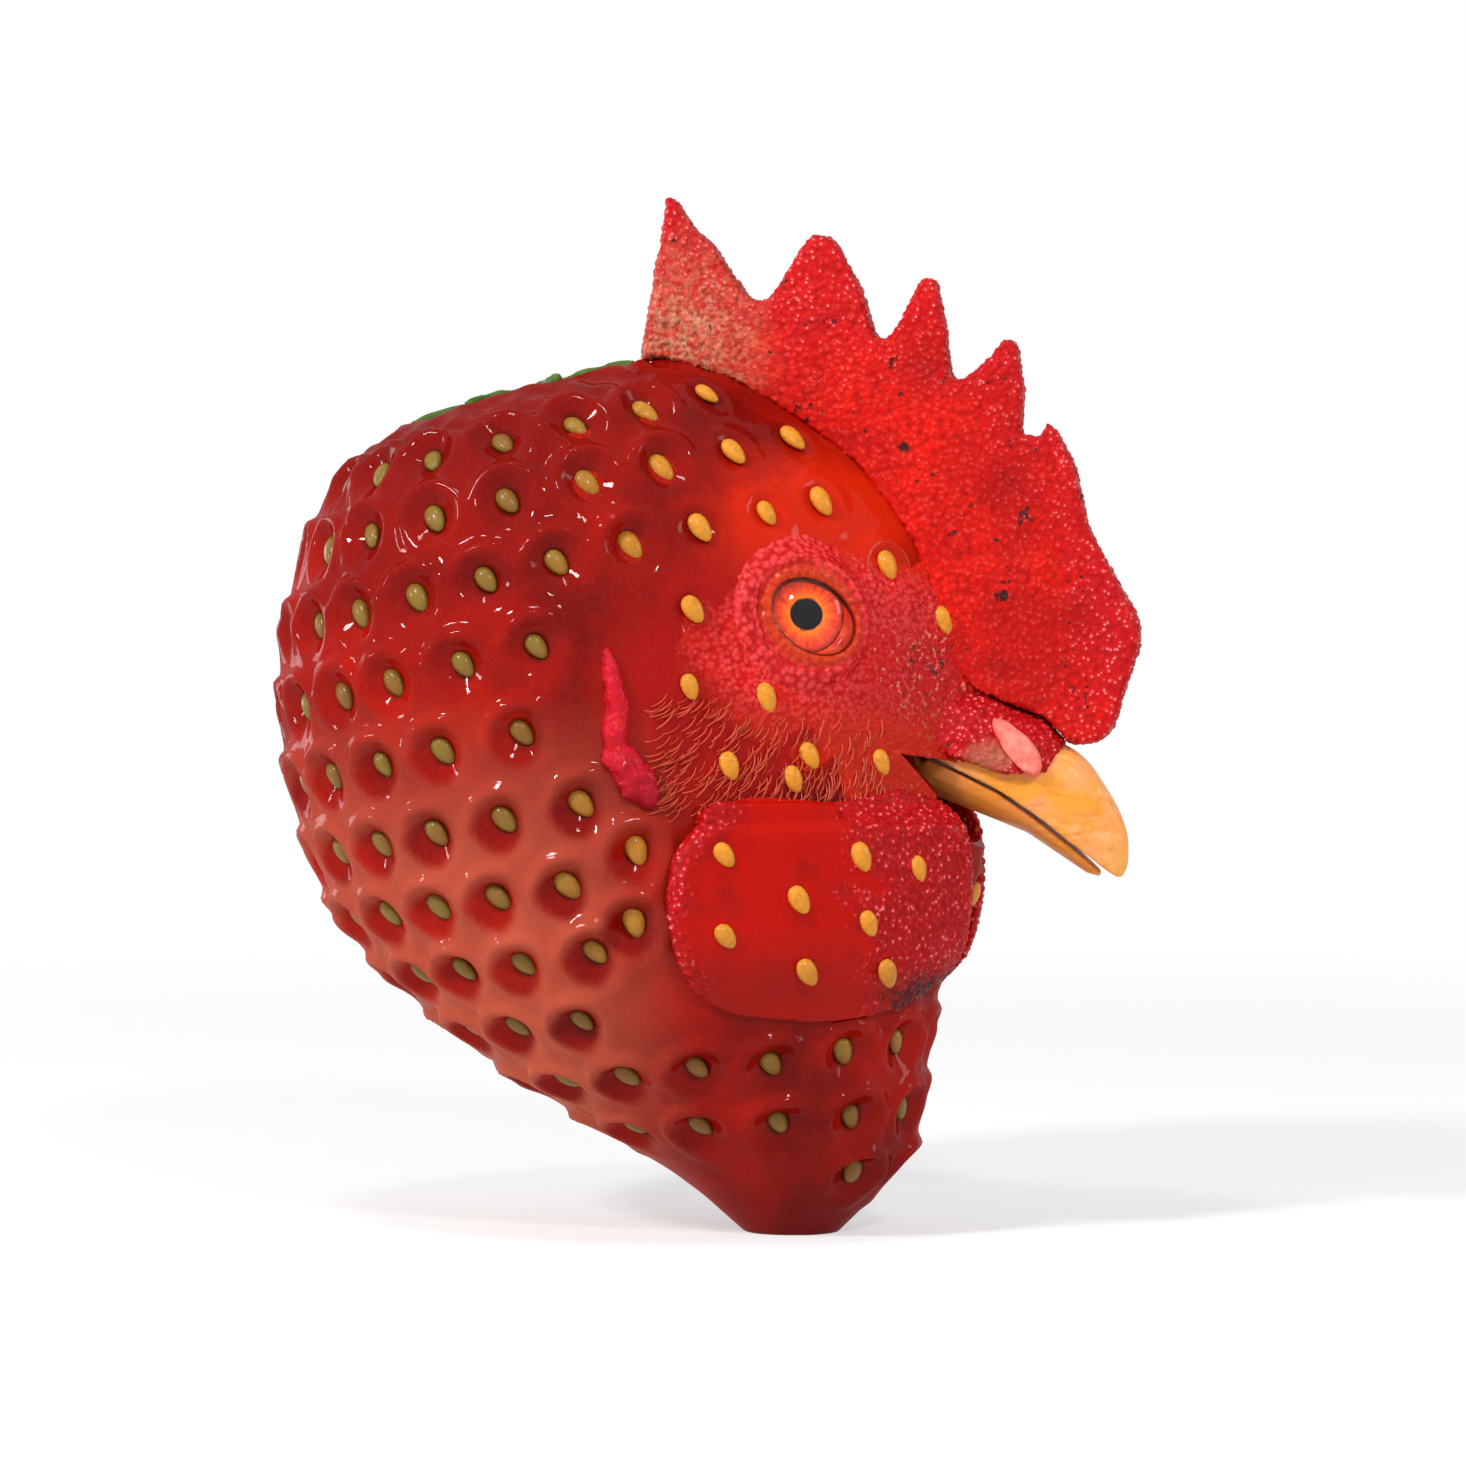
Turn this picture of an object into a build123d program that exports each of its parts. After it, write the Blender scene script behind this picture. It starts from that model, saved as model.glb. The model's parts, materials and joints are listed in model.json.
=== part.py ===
from build123d import *
from bisect import bisect
from itertools import pairwise
from math import cos, hypot, pi, radians, sin, tan
import os

# Rubber chicken: a life-size squeeze toy, a hollow rubber strawberry with a rooster's face.
#
# Frame, in millimetres: the origin is the centre of the squeaker's flat face at the tip, +X runs towards
# the beak and +Z up to the comb. The toy is mirrored about the XZ plane, and the bird's right is -Y.
# Soft and horny pieces are lofted with flat facets, so that two hundred dimples and seeds stay light.

# ---- skin -------------------------------------------------------------------------------------------
wall = 3.0  # rubber thickness
lining_gap = 0.05  # between the rubber and what is bonded inside it
skin_sides = 28  # facets round the body
nose_power = 3  # how suddenly a rib narrows towards the face
# Ribs of the body from the tip to the calyx: back x, back z, front x, front z, half depth, face taper.
RIBS = [
    (-6.7, 0.0, 6.7, 0.0, 6.7, 0.0),
    (-16.5, 8.4, 16.1, 9.8, 15.0, 0.0),
    (-30.8, 16.8, 18.5, 21.0, 22.5, 0.05),
    (-44.8, 25.9, 20.7, 34.3, 30.0, 0.15),
    (-56.7, 36.1, 25.9, 48.3, 35.5, 0.45),
    (-65.1, 46.9, 29.4, 65.8, 39.5, 0.75),
    (-70.0, 60.9, 25.9, 82.6, 41.5, 0.80),
    (-71.3, 74.2, 19.6, 96.6, 42.0, 0.70),
    (-70.0, 87.5, 10.9, 107.1, 40.0, 0.55),
    (-66.5, 98.7, 1.4, 114.1, 36.0, 0.40),
    (-62.0, 106.3, -7.7, 119.4, 29.0, 0.20),
    (-55.6, 112.0, -17.5, 122.3, 19.5, 0.10),
]

# ---- seeds ------------------------------------------------------------------------------------------
seed_pitch = 10.8
row_start = 12.0  # first row's distance from the tip, along the skin
row_end = 13.0  # last row's distance from the calyx's plane, along the skin
seed_length = 3.8
seed_width = 2.4
seed_height = 1.2
seed_crown = 0.45  # width of a seed's top to its base
dimple_sides = 7
dimple_rim = 3.9
dimple_floor = 2.2
dimple_depth = 1.6
seat_rim = 2.6  # the shallow seat of a seed on the bare face or on a wattle
seat_depth = 0.6

# ---- calyx ------------------------------------------------------------------------------------------
calyx_thickness = 1.6
calyx_recess = 1.1
calyx_reach = 18.2  # centre to the tip of a sepal
calyx_core = 8.0
sepal_count = 8
peg_radius = 2.6
peg_play = 0.1
barb_radius = 3.5
barb_gap = 0.2
barb_length = 3.0

# ---- squeaker ---------------------------------------------------------------------------------------
squeaker_radius = 4.6
squeaker_length = 12.0
squeaker_play = 0.03
squeaker_wall = 0.9
flange_radius = 5.8
flange_thickness = 1.0
outlet_radius = 0.9
outlet_circle = 2.2  # the outlets' distance from the middle
outlet_count = 3
collar_wall = 2.6  # rubber round the squeaker
collar_height = 10.0
reed_seat_start = 3.6
reed_seat_length = 7.6
reed_width = 4.0
reed_length = 7.0
reed_thickness = 0.3
wedge_length = 2.6  # length of reed under the wedge
wedge_width = 4.8
channel_width = 2.4  # air channel under the reed
channel_depth = 1.8

# ---- comb -------------------------------------------------------------------------------------------
# The comb thins with its distance from a centre inside the head: distance, half thickness.
comb_x, comb_z = -22.0, 72.0
COMB_SECTION = [(38.0, 4.4), (52.0, 4.2), (62.0, 2.9), (76.0, 2.0)]
fan_first, fan_last = -10.0, 98.0  # degrees over +X
fan_steps = 12
# Outline: x, z, rounding. It starts inside the skull and runs over the points to the front lobe.
COMB_OUTLINE = [
    (-15.0, 105.0, 0),
    (-21.0, 118.0, 2.0),
    (-19.4, 129.0, 12.0),
    (-17.9, 144.4, 1.0),
    (-14.6, 143.6, 1.0),
    (-3.6, 127.3, 2.2),
    (0.8, 139.0, 3.0),
    (8.6, 138.6, 3.0),
    (12.8, 120.6, 1.5),
    (17.6, 133.2, 1.2),
    (21.6, 132.6, 1.2),
    (22.8, 115.6, 1.5),
    (28.8, 124.6, 1.2),
    (32.8, 123.8, 1.2),
    (32.4, 107.6, 1.0),
    (35.2, 113.0, 0.8),
    (38.4, 111.8, 0.8),
    (41.6, 99.0, 3.0),
    (49.6, 84.0, 10.0),
    (44.6, 68.4, 4.0),
    (33.6, 68.6, 2.0),
    (18.0, 84.0, 0),
]
tongue_first, tongue_last = 6.3, 10.3  # span of the tongue, in rib numbers
tongue_steps = 8
tongue_half = 2.4
tongue_depth = 8.0
tongue_root = 0.8  # how far it runs up into the blade
bead_half = 4.0
slot_play = 0.1

# ---- beak, in a frame at the hinge: s runs along the beak, t stands up from it ---------------------
hinge_x, hinge_z = 16.1, 66.2
beak_droop = 31.0  # degrees below the horizontal
# s, underside, ridge, half width
UPPER_BEAK = [
    (-3.0, 2.7, 11.5, 6.6),
    (6.0, 2.9, 12.2, 7.0),
    (14.0, 3.5, 12.9, 6.8),
    (21.0, 3.1, 13.2, 6.0),
    (27.0, 2.2, 10.8, 4.6),
    (31.5, 1.5, 7.6, 2.9),
    (33.6, 1.4, 4.8, 1.7),
    (34.4, 1.5, 3.0, 0.8),
]
# s, top, keel, half width
LOWER_BEAK = [
    (3.0, 2.1, -2.4, 6.0),
    (6.0, 2.5, -2.3, 6.4),
    (14.0, 3.1, -0.9, 6.2),
    (20.0, 2.7, 0.1, 5.2),
    (26.0, 1.9, -0.2, 3.9),
    (30.0, 1.2, -0.4, 2.3),
    (31.8, 0.9, 0.1, 1.0),
]
# Half of a beak's arch, from the ridge down: share of the half width, share of the height.
ARCH = [(0.38, 0.93), (0.72, 0.72), (0.95, 0.38), (1.0, 0.0)]
# s and thickness of the fleshy cere that wraps the beak's root
CERE = [(-3.0, 1.6), (6.0, 1.9), (14.0, 2.0), (18.0, 0.8)]
gape = (0.3, 1.7)  # s, t of the mouth's corner
CERE_EDGE = [(6.2, 4.6), (13.4, 6.3), (20.0, 10.2)]  # where the cere stops on the beak's side
nostril_s, nostril_t = 13.2, 9.0
nostril_long, nostril_wide = 4.6, 1.5
nostril_slope = -18.0
flap_thickness = 0.9
flap_lift = 1.5  # of the flap's middle over the nostril's
pin_radius = 0.9
pin_play = 0.06
barrel_radius = 2.2
barrel_half = 5.1
arm_reach = 5.0
ear_radius = 2.3
ear_gap = 0.25
pocket_half = 7.7  # half width of the gap that the lower beak swings in
pocket_floor = -4.8
pocket_back = -3.0
block_back = -9.0
block_floor = -7.4
block_top = 12.5
palate = 2.6  # top of the jaw block under the upper beak
mouth_reach = 30.0  # past the skin, along s
throat_s = 8.8  # where the mouth's lower edge levels out
cheek_point = (7.2, -1.1)

# ---- eyes -------------------------------------------------------------------------------------------
eye_x, eye_z = 4.5, 86.4
eye_turn = 12.0  # degrees that an eye looks further sideways than its skin
eye_lift = 0.8
eye_sides = 24
cup_radius = 7.6
cup_depth = 8.0
cup_wall = 1.2
cup_floor = 1.5
eye_play = 0.05
washer_radius = 10.5
washer_thickness = 3.4
iris_radius = 5.3
iris_level = 0.4  # rim of the iris above the skin
iris_dish = 0.3  # how far it sinks towards the pupil
disc_thickness = 0.6
pupil_radius = 2.2
# Clear dome: share of the iris's radius, height above the iris's rim.
CORNEA = [(1.0, 0.5), (0.8, 1.6), (0.45, 2.3), (0.15, 2.5)]
lid_outer = 10.6
lid_long, lid_short = 6.9, 5.6  # half axes of the opening
lid_slant = 35.0  # long axis below the horizontal, towards the beak
lid_steps = 20
# Section of a lid: share of the way from the opening to the outer edge, height.
LID_SECTION = [(0.0, -3.5), (0.0, 1.0), (0.2, 2.2), (0.5, 2.5), (0.85, 1.2), (1.0, -3.5)]

# ---- wattles and ear lobes ---------------------------------------------------------------------------
wattle_gap = 0.8
wattle_thickness = 2.8
# Outline: x, z, rounding
WATTLE_OUTLINE = [
    (-13.0, 44.0, 6.0),
    (-12.5, 57.0, 4.0),
    (-5.6, 61.3, 1.0),
    (5.6, 61.3, 1.0),
    (24.6, 58.0, 4.0),
    (26.0, 47.0, 6.0),
    (19.5, 33.2, 5.0),
    (1.5, 32.2, 9.0),
]
# Seeds on a wattle: x, z
WATTLE_SEEDS = [
    (-4.6, 54.3),
    (12.4, 53.5),
    (19.4, 51.6),
    (4.8, 48.0),
    (13.4, 44.5),
    (-4.4, 43.4),
    (5.8, 38.2),
    (15.6, 37.6),
]
neck_back, neck_front = -5.0, 5.0
neck_z = 60.6
neck_height = 1.4
neck_play = 0.25
neck_inside = 6.0  # how far the neck reaches in from the skin
neck_outside = 2.2
bar_radius = 1.3
bar_overhang = 1.5
wattle_pivot = 0.6  # the neck bends this far outside the skin
wattle_swing = 25.0  # degrees outwards
lobe_thickness = 1.8
lobe_x, lobe_z = -16.2, 71.6
lobe_long, lobe_wide = 19.0, 5.0
lobe_lean = 13.0  # degrees from the vertical, its foot towards the beak
lobe_sides = 14

reach_past = 60.0  # longer than any cut needs


# ---- faceted forms ----------------------------------------------------------------------------------
def facet_loft(rings, closed=False):
    """A solid with flat facets between like points of each ring and the next."""
    pairs = list(pairwise(rings))
    ends = (rings[0], rings[-1])
    if closed:
        pairs.append((rings[-1], rings[0]))
        ends = ()
    faces = [Face(Wire.make_polygon(ring)) for ring in ends]
    for low, high in pairs:
        for here in range(len(low)):
            there = (here + 1) % len(low)
            corners = [low[here], low[there], high[there], high[here]]
            if here >= len(low) / 2:  # so that the two flanks mirror each other
                corners = corners[1:] + corners[:1]
            faces.append(Face(Wire.make_polygon(corners[:3])))
            faces.append(Face(Wire.make_polygon([corners[0], corners[2], corners[3]])))
    return Solid(Shell(faces)).clean()


def polygon_ring(radius, sides, height):
    turns = [2 * pi * (side + 0.5) / sides for side in range(sides)]
    return [Vector(radius * cos(turn), radius * sin(turn), height) for turn in turns]


def mirrored(part):
    return mirror(part, about=Plane.XZ)


# ---- the skin as a surface ---------------------------------------------------------------------------
def rib_plane(rib, lift=0.0):
    """The plane through a rib, its x axis towards the face, and the rib's half length."""
    back_x, back_z, front_x, front_z = rib[:4]
    across = Vector(front_x - back_x, 0, front_z - back_z)
    up = across.normalized().cross(Vector(0, 1, 0))
    middle = Vector((front_x + back_x) / 2, 0, (front_z + back_z) / 2) + up * lift
    return Plane(origin=middle, x_dir=across.normalized(), z_dir=up), across.length / 2


def rib_point(number, turn, grow=0.0):
    """A point on a rib, turn radians round from the face, on a skin that is moved out by grow."""
    last = len(RIBS) - 1
    side = grow if 0 < number < last else 0
    lift = {0: -grow, last: grow}.get(number, 0)
    plane, reach = rib_plane(RIBS[number], lift)
    depth, taper = RIBS[number][4:]
    narrow = 1 - taper * ((1 + cos(turn)) / 2) ** nose_power
    return plane.from_local_coords(Vector((reach + side) * cos(turn), (depth + side) * sin(turn) * narrow, 0))


def skin_point(place, turn, grow=0.0):
    """A point between two ribs: place is in rib numbers from the tip."""
    low = min(int(place), len(RIBS) - 2)
    start, end = rib_point(low, turn, grow), rib_point(low + 1, turn, grow)
    return start + (end - start) * (place - low)


def skin_normal(place, turn, step=0.2):
    around = skin_point(place, turn + step) - skin_point(place, turn - step)
    along = skin_point(min(place + step, len(RIBS) - 1), turn) - skin_point(max(place - step, 0), turn)
    return around.cross(along).normalized()


def skin_solid(grow=0.0):
    turns = [2 * pi * side / skin_sides for side in range(skin_sides)]
    return facet_loft([[rib_point(rib, turn, grow) for turn in turns] for rib in range(len(RIBS))])


def flank(solid, x, z):
    """Where a line along -Y at x, z leaves a solid, and the outward normal there."""
    hits = solid.find_intersection_points(Axis((x, 0, z), (0, -1, 0)))
    return min(hits, key=lambda hit: hit[0].Y)


skin = skin_solid()
cavity = skin_solid(-wall)
lining = skin_solid(-wall - lining_gap)
calyx_plane, _ = rib_plane(RIBS[-1])


# ---- beak frame --------------------------------------------------------------------------------------
def beak_point(s, t, y=0.0):
    droop = radians(beak_droop)
    return Vector(hinge_x + s * cos(droop) + t * sin(droop), y, hinge_z - s * sin(droop) + t * cos(droop))


def beak_coordinates(point):
    droop = radians(beak_droop)
    dx, dz = point.X - hinge_x, point.Z - hinge_z
    return dx * cos(droop) - dz * sin(droop), dx * sin(droop) + dz * cos(droop)


def beak_plane(y=0.0):
    """A plane along the head at y, its x axis along the beak and its normal towards the bird's right."""
    return Plane(origin=(hinge_x, y, hinge_z), x_dir=beak_point(1, 0) - beak_point(0, 0), z_dir=(0, -1, 0))


def arch_ring(s, base, crown, half):
    """A ring across the beak: an arch from its ridge down to the flat base, and up again."""
    right = [(share * half, base + rise * (crown - base)) for share, rise in ARCH]
    left = [(-y, t) for y, t in reversed(right)]
    return [beak_point(s, t, y) for y, t in [(0, crown), *right, *left]]


def between(rows, s, column):
    """A column of a table of stations, read at s by straight lines."""
    for low, high in pairwise(rows):
        if low[0] <= s <= high[0]:
            return low[column] + (s - low[0]) / (high[0] - low[0]) * (high[column] - low[column])
    raise ValueError(f"{s} is off the table")


def beak_sleeve(extra=0.0):
    """The outside of the cere, with its length of beak inside."""
    rings = []
    for s, flesh in CERE:
        base, crown, half = (between(UPPER_BEAK, s, column) for column in (1, 2, 3))
        rings.append(arch_ring(s, base, crown + flesh + extra, half + flesh + extra))
    return facet_loft(rings)


def beak_prism(outline, half):
    with BuildPart() as prism:
        with BuildSketch(beak_plane()):
            with BuildLine():
                Polyline(*outline, close=True)
            make_face()
        extrude(amount=half, both=True)
    return prism.part


upper_horn = facet_loft([arch_ring(*row) for row in UPPER_BEAK])
sleeve = beak_sleeve()
mouth_cut = beak_prism(
    [gape, cheek_point, (throat_s, pocket_floor), (mouth_reach, pocket_floor), (mouth_reach, block_top)]
    + CERE_EDGE[::-1],
    reach_past,
)
mouth_pocket = beak_prism(
    [
        (pocket_back, pocket_floor),
        (mouth_reach, pocket_floor),
        (mouth_reach, palate),
        (pocket_back, palate),
    ],
    pocket_half,
)


# ---- beak pieces --------------------------------------------------------------------------------------
def make_upper_beak():
    with BuildPart() as upper_beak:
        add(upper_horn)
    return upper_beak.part


def make_cere():
    back = [(block_back, 0), (block_back, CERE_EDGE[0][1] - 1)]
    front = [(mouth_reach, block_top), (mouth_reach, 0)]
    under = beak_prism(back + CERE_EDGE + front, reach_past)
    with BuildPart() as cere:
        add(sleeve)
        add(upper_horn, mode=Mode.SUBTRACT)
        add(under, mode=Mode.SUBTRACT)
        with BuildSketch(beak_plane()):
            with Locations((nostril_s, nostril_t)):
                SlotOverall(nostril_long, nostril_wide, rotation=nostril_slope)
        extrude(amount=reach_past, both=True, mode=Mode.SUBTRACT)
    return cere.part


def make_nostril_flap():
    """The pink scale that roofs a nostril."""
    with BuildPart() as flap:
        with BuildSketch(beak_plane()):
            with BuildLine(Plane.XY.moved(Location((nostril_s - 0.6, nostril_t + flap_lift)))):
                Polyline((-4.4, 1.0), (0.0, 1.8), (5.2, -1.5), (0.5, -1.2), close=True)
            make_face()
        extrude(amount=reach_past)
        add(beak_sleeve(flap_thickness), mode=Mode.INTERSECT)
        add(sleeve, mode=Mode.SUBTRACT)
    return flap.part.solids().sort_by(SortBy.VOLUME)[-1]


def make_lower_beak():
    """The lower horn on its barrel."""
    with BuildPart() as lower_beak:
        add(facet_loft([arch_ring(*row) for row in LOWER_BEAK]))
        with BuildSketch(beak_plane()):
            Circle(barrel_radius)
            with BuildLine():
                Polyline((0, 1.2), (arm_reach, 1.9), (arm_reach, -1.6), (0, -2.0), close=True)
            make_face()
        extrude(amount=barrel_half, both=True)
        with BuildSketch(beak_plane()):
            Circle(pin_radius + pin_play)
        extrude(amount=reach_past, both=True, mode=Mode.SUBTRACT)
    return lower_beak.part


def make_hinge_pin():
    with BuildPart() as hinge_pin:
        with BuildSketch(beak_plane()):
            Circle(pin_radius)
        extrude(amount=pocket_half, both=True)
    return hinge_pin.part


def make_jaw_block():
    """The block behind the mouth: it closes the skin's opening and carries both beaks and the pin."""
    ear_width = pocket_half - barrel_half - ear_gap
    with BuildPart() as jaw_block:
        add(lining)
        add(
            beak_prism(
                [
                    (block_back, block_floor),
                    (mouth_reach, block_floor),
                    (mouth_reach, palate),
                    (pocket_back, palate),
                    (pocket_back, block_top),
                    (block_back, block_top),
                ],
                reach_past,
            ),
            mode=Mode.INTERSECT,
        )
        add(mouth_cut, mode=Mode.SUBTRACT)
        add(mouth_pocket, mode=Mode.SUBTRACT)
        add(sleeve, mode=Mode.SUBTRACT)
        for side in (1, -1):
            with BuildSketch(beak_plane(side * (barrel_half + ear_gap + ear_width / 2))):
                Circle(ear_radius)
                with Locations((pocket_back / 2, 0)):
                    Rectangle(-pocket_back, 2 * ear_radius)
            extrude(amount=ear_width / 2, both=True)
        with BuildSketch(beak_plane()):
            Circle(pin_radius)
        extrude(amount=pocket_half, both=True, mode=Mode.SUBTRACT)
    return jaw_block.part


# ---- eyes, built on the bird's right ------------------------------------------------------------------
eye_point, eye_slope = flank(skin, eye_x, eye_z)
eye_normal = eye_slope.rotate(Axis.Z, -eye_turn)
eye_plane = Plane(
    origin=eye_point + eye_normal * eye_lift, x_dir=Vector(0, 0, 1).cross(eye_normal), z_dir=eye_normal
)
iris_seat = iris_level - disc_thickness


def disc(radius, bottom, top, hole=0.0):
    """A disc or ring on the eye's axis, from bottom to top over the skin."""
    with BuildPart() as flat:
        with BuildSketch(eye_plane.offset(bottom)):
            Circle(radius)
            if hole:
                Circle(hole, mode=Mode.SUBTRACT)
        extrude(amount=top - bottom)
    return flat.part


def make_eye_cup():
    """The hollow plug that passes through the skin and carries the iris."""
    with BuildPart() as cup:
        add(disc(cup_radius, -cup_depth, iris_seat))
        add(disc(cup_radius - cup_wall, -cup_depth, iris_seat - cup_floor), mode=Mode.SUBTRACT)
    return cup.part


def make_eye_washer():
    """The ring that is pushed over the plug and bears on the skin's inner face."""
    with BuildPart() as washer:
        add(disc(washer_radius, -wall - washer_thickness, 0, cup_radius))
        add(cavity, mode=Mode.INTERSECT)
    return washer.part


def eye_spot(radius, turn, height):
    return eye_plane.from_local_coords(Vector(radius * cos(turn), radius * sin(turn), height))


def eye_ring(radius, height):
    return [eye_spot(radius, 2 * pi * side / eye_sides, height) for side in range(eye_sides)]


def make_pupil():
    return facet_loft([eye_ring(pupil_radius, iris_seat), eye_ring(pupil_radius, iris_level - iris_dish)])


def make_iris():
    """A ring that dishes towards the pupil."""
    with BuildPart() as iris:
        add(
            facet_loft(
                [
                    eye_ring(iris_radius, iris_seat),
                    eye_ring(iris_radius, iris_level),
                    eye_ring(pupil_radius, iris_level - iris_dish),
                ]
            )
        )
        add(make_pupil(), mode=Mode.SUBTRACT)
    return iris.part


def make_cornea():
    """The clear dome over the iris."""
    dome = [eye_ring(share * iris_radius, iris_level + rise) for share, rise in CORNEA]
    bowl = [eye_ring(pupil_radius, iris_level - iris_dish), eye_ring(iris_radius, iris_level)]
    return facet_loft(bowl + dome)


def make_eyelid():
    """A rolled rim round the eye, with a slanted oval opening."""
    rings = []
    for step in range(lid_steps):
        turn = 2 * pi * step / lid_steps
        across = turn + radians(lid_slant)
        opening = 1 / hypot(cos(across) / lid_long, sin(across) / lid_short)
        rings.append(
            [eye_spot(opening + share * (lid_outer - opening), turn, height) for share, height in LID_SECTION]
        )
    with BuildPart() as eyelid:
        add(facet_loft(rings, closed=True))
        add(skin, mode=Mode.SUBTRACT)
        add(disc(cup_radius, -cup_depth, iris_seat), mode=Mode.SUBTRACT)
    return eyelid.part


# ---- comb ---------------------------------------------------------------------------------------------
def ridge_band(top, bottom):
    """Points of a band along the skull's ridge, from top over the skin to bottom under it."""
    upper, lower = [], []
    for step in range(tongue_steps + 1):
        place = tongue_first + (tongue_last - tongue_first) * step / tongue_steps
        point, normal = skin_point(place, 0), skin_normal(place, 0)
        upper.append(point + normal * top)
        lower.append(point - normal * bottom)
    return [(point.X, point.Z) for point in upper + lower[::-1]]


def ridge_prism(top, bottom, half, play=0.0):
    with BuildPart() as band:
        with BuildSketch(Plane.XZ):
            with BuildLine():
                Polyline(*ridge_band(top, bottom), close=True)
            make_face()
            if play:
                offset(amount=play, kind=Kind.INTERSECTION)
        extrude(amount=half + play, both=True)
    return band.part


def comb_fan():
    """The comb's thickness, swept round its centre."""
    section = COMB_SECTION + [(radius, -half) for radius, half in COMB_SECTION[::-1]]
    rings = []
    for step in range(fan_steps + 1):
        turn = radians(fan_first + (fan_last - fan_first) * step / fan_steps)
        across = Vector(cos(turn), 0, sin(turn))
        rings.append([Vector(comb_x, half, comb_z) + across * radius for radius, half in section])
    return facet_loft(rings)


def make_comb():
    """The blade on the skull, with the tongue and bead that button it into the skin's slot."""
    bead = ridge_prism(-wall, tongue_depth, bead_half).intersect(lining)
    with BuildPart() as comb:
        with BuildSketch(Plane.XZ) as outline:
            with BuildLine():
                Polyline(*[(x, z) for x, z, _ in COMB_OUTLINE], close=True)
            make_face()
            for x, z, rounding in COMB_OUTLINE:
                if rounding:
                    corner = outline.vertices().sort_by_distance((x, z, 0))[0]
                    fillet(corner, radius=rounding)
        extrude(amount=reach_past, both=True)
        add(comb_fan(), mode=Mode.INTERSECT)
        add(skin, mode=Mode.SUBTRACT)
        add(beak_sleeve(flap_thickness), mode=Mode.SUBTRACT)
        add(ridge_prism(tongue_root, tongue_depth, tongue_half))
        add(bead)
    return comb.part


# ---- wattles and ear lobes, built on the bird's right ---------------------------------------------------
neck_ends = [flank(skin, x, neck_z)[0] for x in (neck_back, neck_front)]
neck_along = (neck_ends[1] - neck_ends[0]).normalized()
neck_middle = (neck_ends[0] + neck_ends[1]) / 2
neck_plane = Plane(origin=neck_middle, x_dir=neck_along.cross(Vector(0, 0, 1)), z_dir=neck_along * -1)
neck_half = (neck_ends[1] - neck_ends[0]).length / 2
wattle_skin = skin_solid(wattle_gap + wattle_thickness)


def seed_frame(point, normal):
    """A place on the skin: its z axis points outwards and its x axis to the tip."""
    down = point * -1
    down = down - normal * down.dot(normal)
    return Plane(origin=point, x_dir=down, z_dir=normal).location


def wattle_seed_frames():
    return [seed_frame(*flank(wattle_skin, x, z)) for x, z in WATTLE_SEEDS]


def make_wattle():
    """The flap that hangs beside the throat, on a neck with a T bar behind the skin."""
    with BuildPart() as wattle:
        with BuildSketch(Plane.XZ) as outline:
            with BuildLine():
                Polyline(*[(x, z) for x, z, _ in WATTLE_OUTLINE], close=True)
            make_face()
            for x, z, rounding in WATTLE_OUTLINE:
                fillet(outline.vertices().sort_by_distance((x, z, 0))[0], radius=rounding)
        extrude(amount=reach_past)
        add(wattle_skin, mode=Mode.INTERSECT)
        add(skin_solid(wattle_gap), mode=Mode.SUBTRACT)
        with BuildSketch(neck_plane):
            with Locations(((neck_outside - neck_inside) / 2, 0)):
                Rectangle(neck_outside + neck_inside, neck_height)
        extrude(amount=neck_half, both=True)
        with BuildSketch(neck_plane):
            with Locations((-neck_inside, 0)):
                Circle(bar_radius)
        extrude(amount=neck_half + bar_overhang, both=True)
        add([seat.moved(frame) for frame in wattle_seed_frames()], mode=Mode.SUBTRACT)
    return wattle.part


def wattle_slit():
    """The slit in the skin that leaves a neck room to swing."""
    half = neck_height / 2 + neck_play
    swing = tan(radians(wattle_swing))
    outer, inner = wattle_gap + neck_outside, -neck_inside
    with BuildPart() as slit:
        with BuildSketch(neck_plane):
            with BuildLine():
                Polyline(
                    (outer, -half),
                    (outer, half + swing * (outer - wattle_pivot)),
                    (wattle_pivot, half),
                    (inner, half),
                    (inner, -half - swing * (wattle_pivot - inner)),
                    (wattle_pivot, -half),
                    close=True,
                )
            make_face()
        extrude(amount=neck_half + neck_play, both=True)
    return slit.part


def lobe_outline():
    lean, points = radians(lobe_lean), []
    for side in range(lobe_sides):
        turn = 2 * pi * side / lobe_sides
        x, z = lobe_wide / 2 * cos(turn), lobe_long / 2 * sin(turn)
        points.append((lobe_x + x * cos(lean) - z * sin(lean), lobe_z + x * sin(lean) + z * cos(lean)))
    return points


def make_ear_lobe():
    """The ridge of the ear lobe, moulded to the skin."""
    with BuildPart() as ear_lobe:
        with BuildSketch(Plane.XZ):
            with BuildLine():
                Polyline(*lobe_outline(), close=True)
            make_face()
        extrude(amount=reach_past)
        add(skin_solid(lobe_thickness), mode=Mode.INTERSECT)
        add(skin, mode=Mode.SUBTRACT)
    return ear_lobe.part


# ---- dimples and seeds ----------------------------------------------------------------------------------
def make_dimple(rim, depth):
    """A dimple with sloping sides and a flat floor, cut from above the XY plane."""
    slope = (rim - dimple_floor) / depth
    above = depth
    return facet_loft(
        [
            polygon_ring(dimple_floor, dimple_sides, -depth),
            polygon_ring(rim + slope * above, dimple_sides, above),
        ]
    )


def make_seed(depth):
    """A seed that sits on the floor of a dimple, its point towards +X."""
    outline = [(0.5, 0.0), (0.15, 0.42), (-0.28, 0.5), (-0.5, 0.0), (-0.28, -0.5), (0.15, -0.42)]
    rings = []
    for share, height in ((1.0, -depth), (seed_crown, seed_height - depth)):
        rings.append([Vector(x * share * seed_length, y * share * seed_width, height) for x, y in outline])
    return facet_loft(rings)


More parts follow.
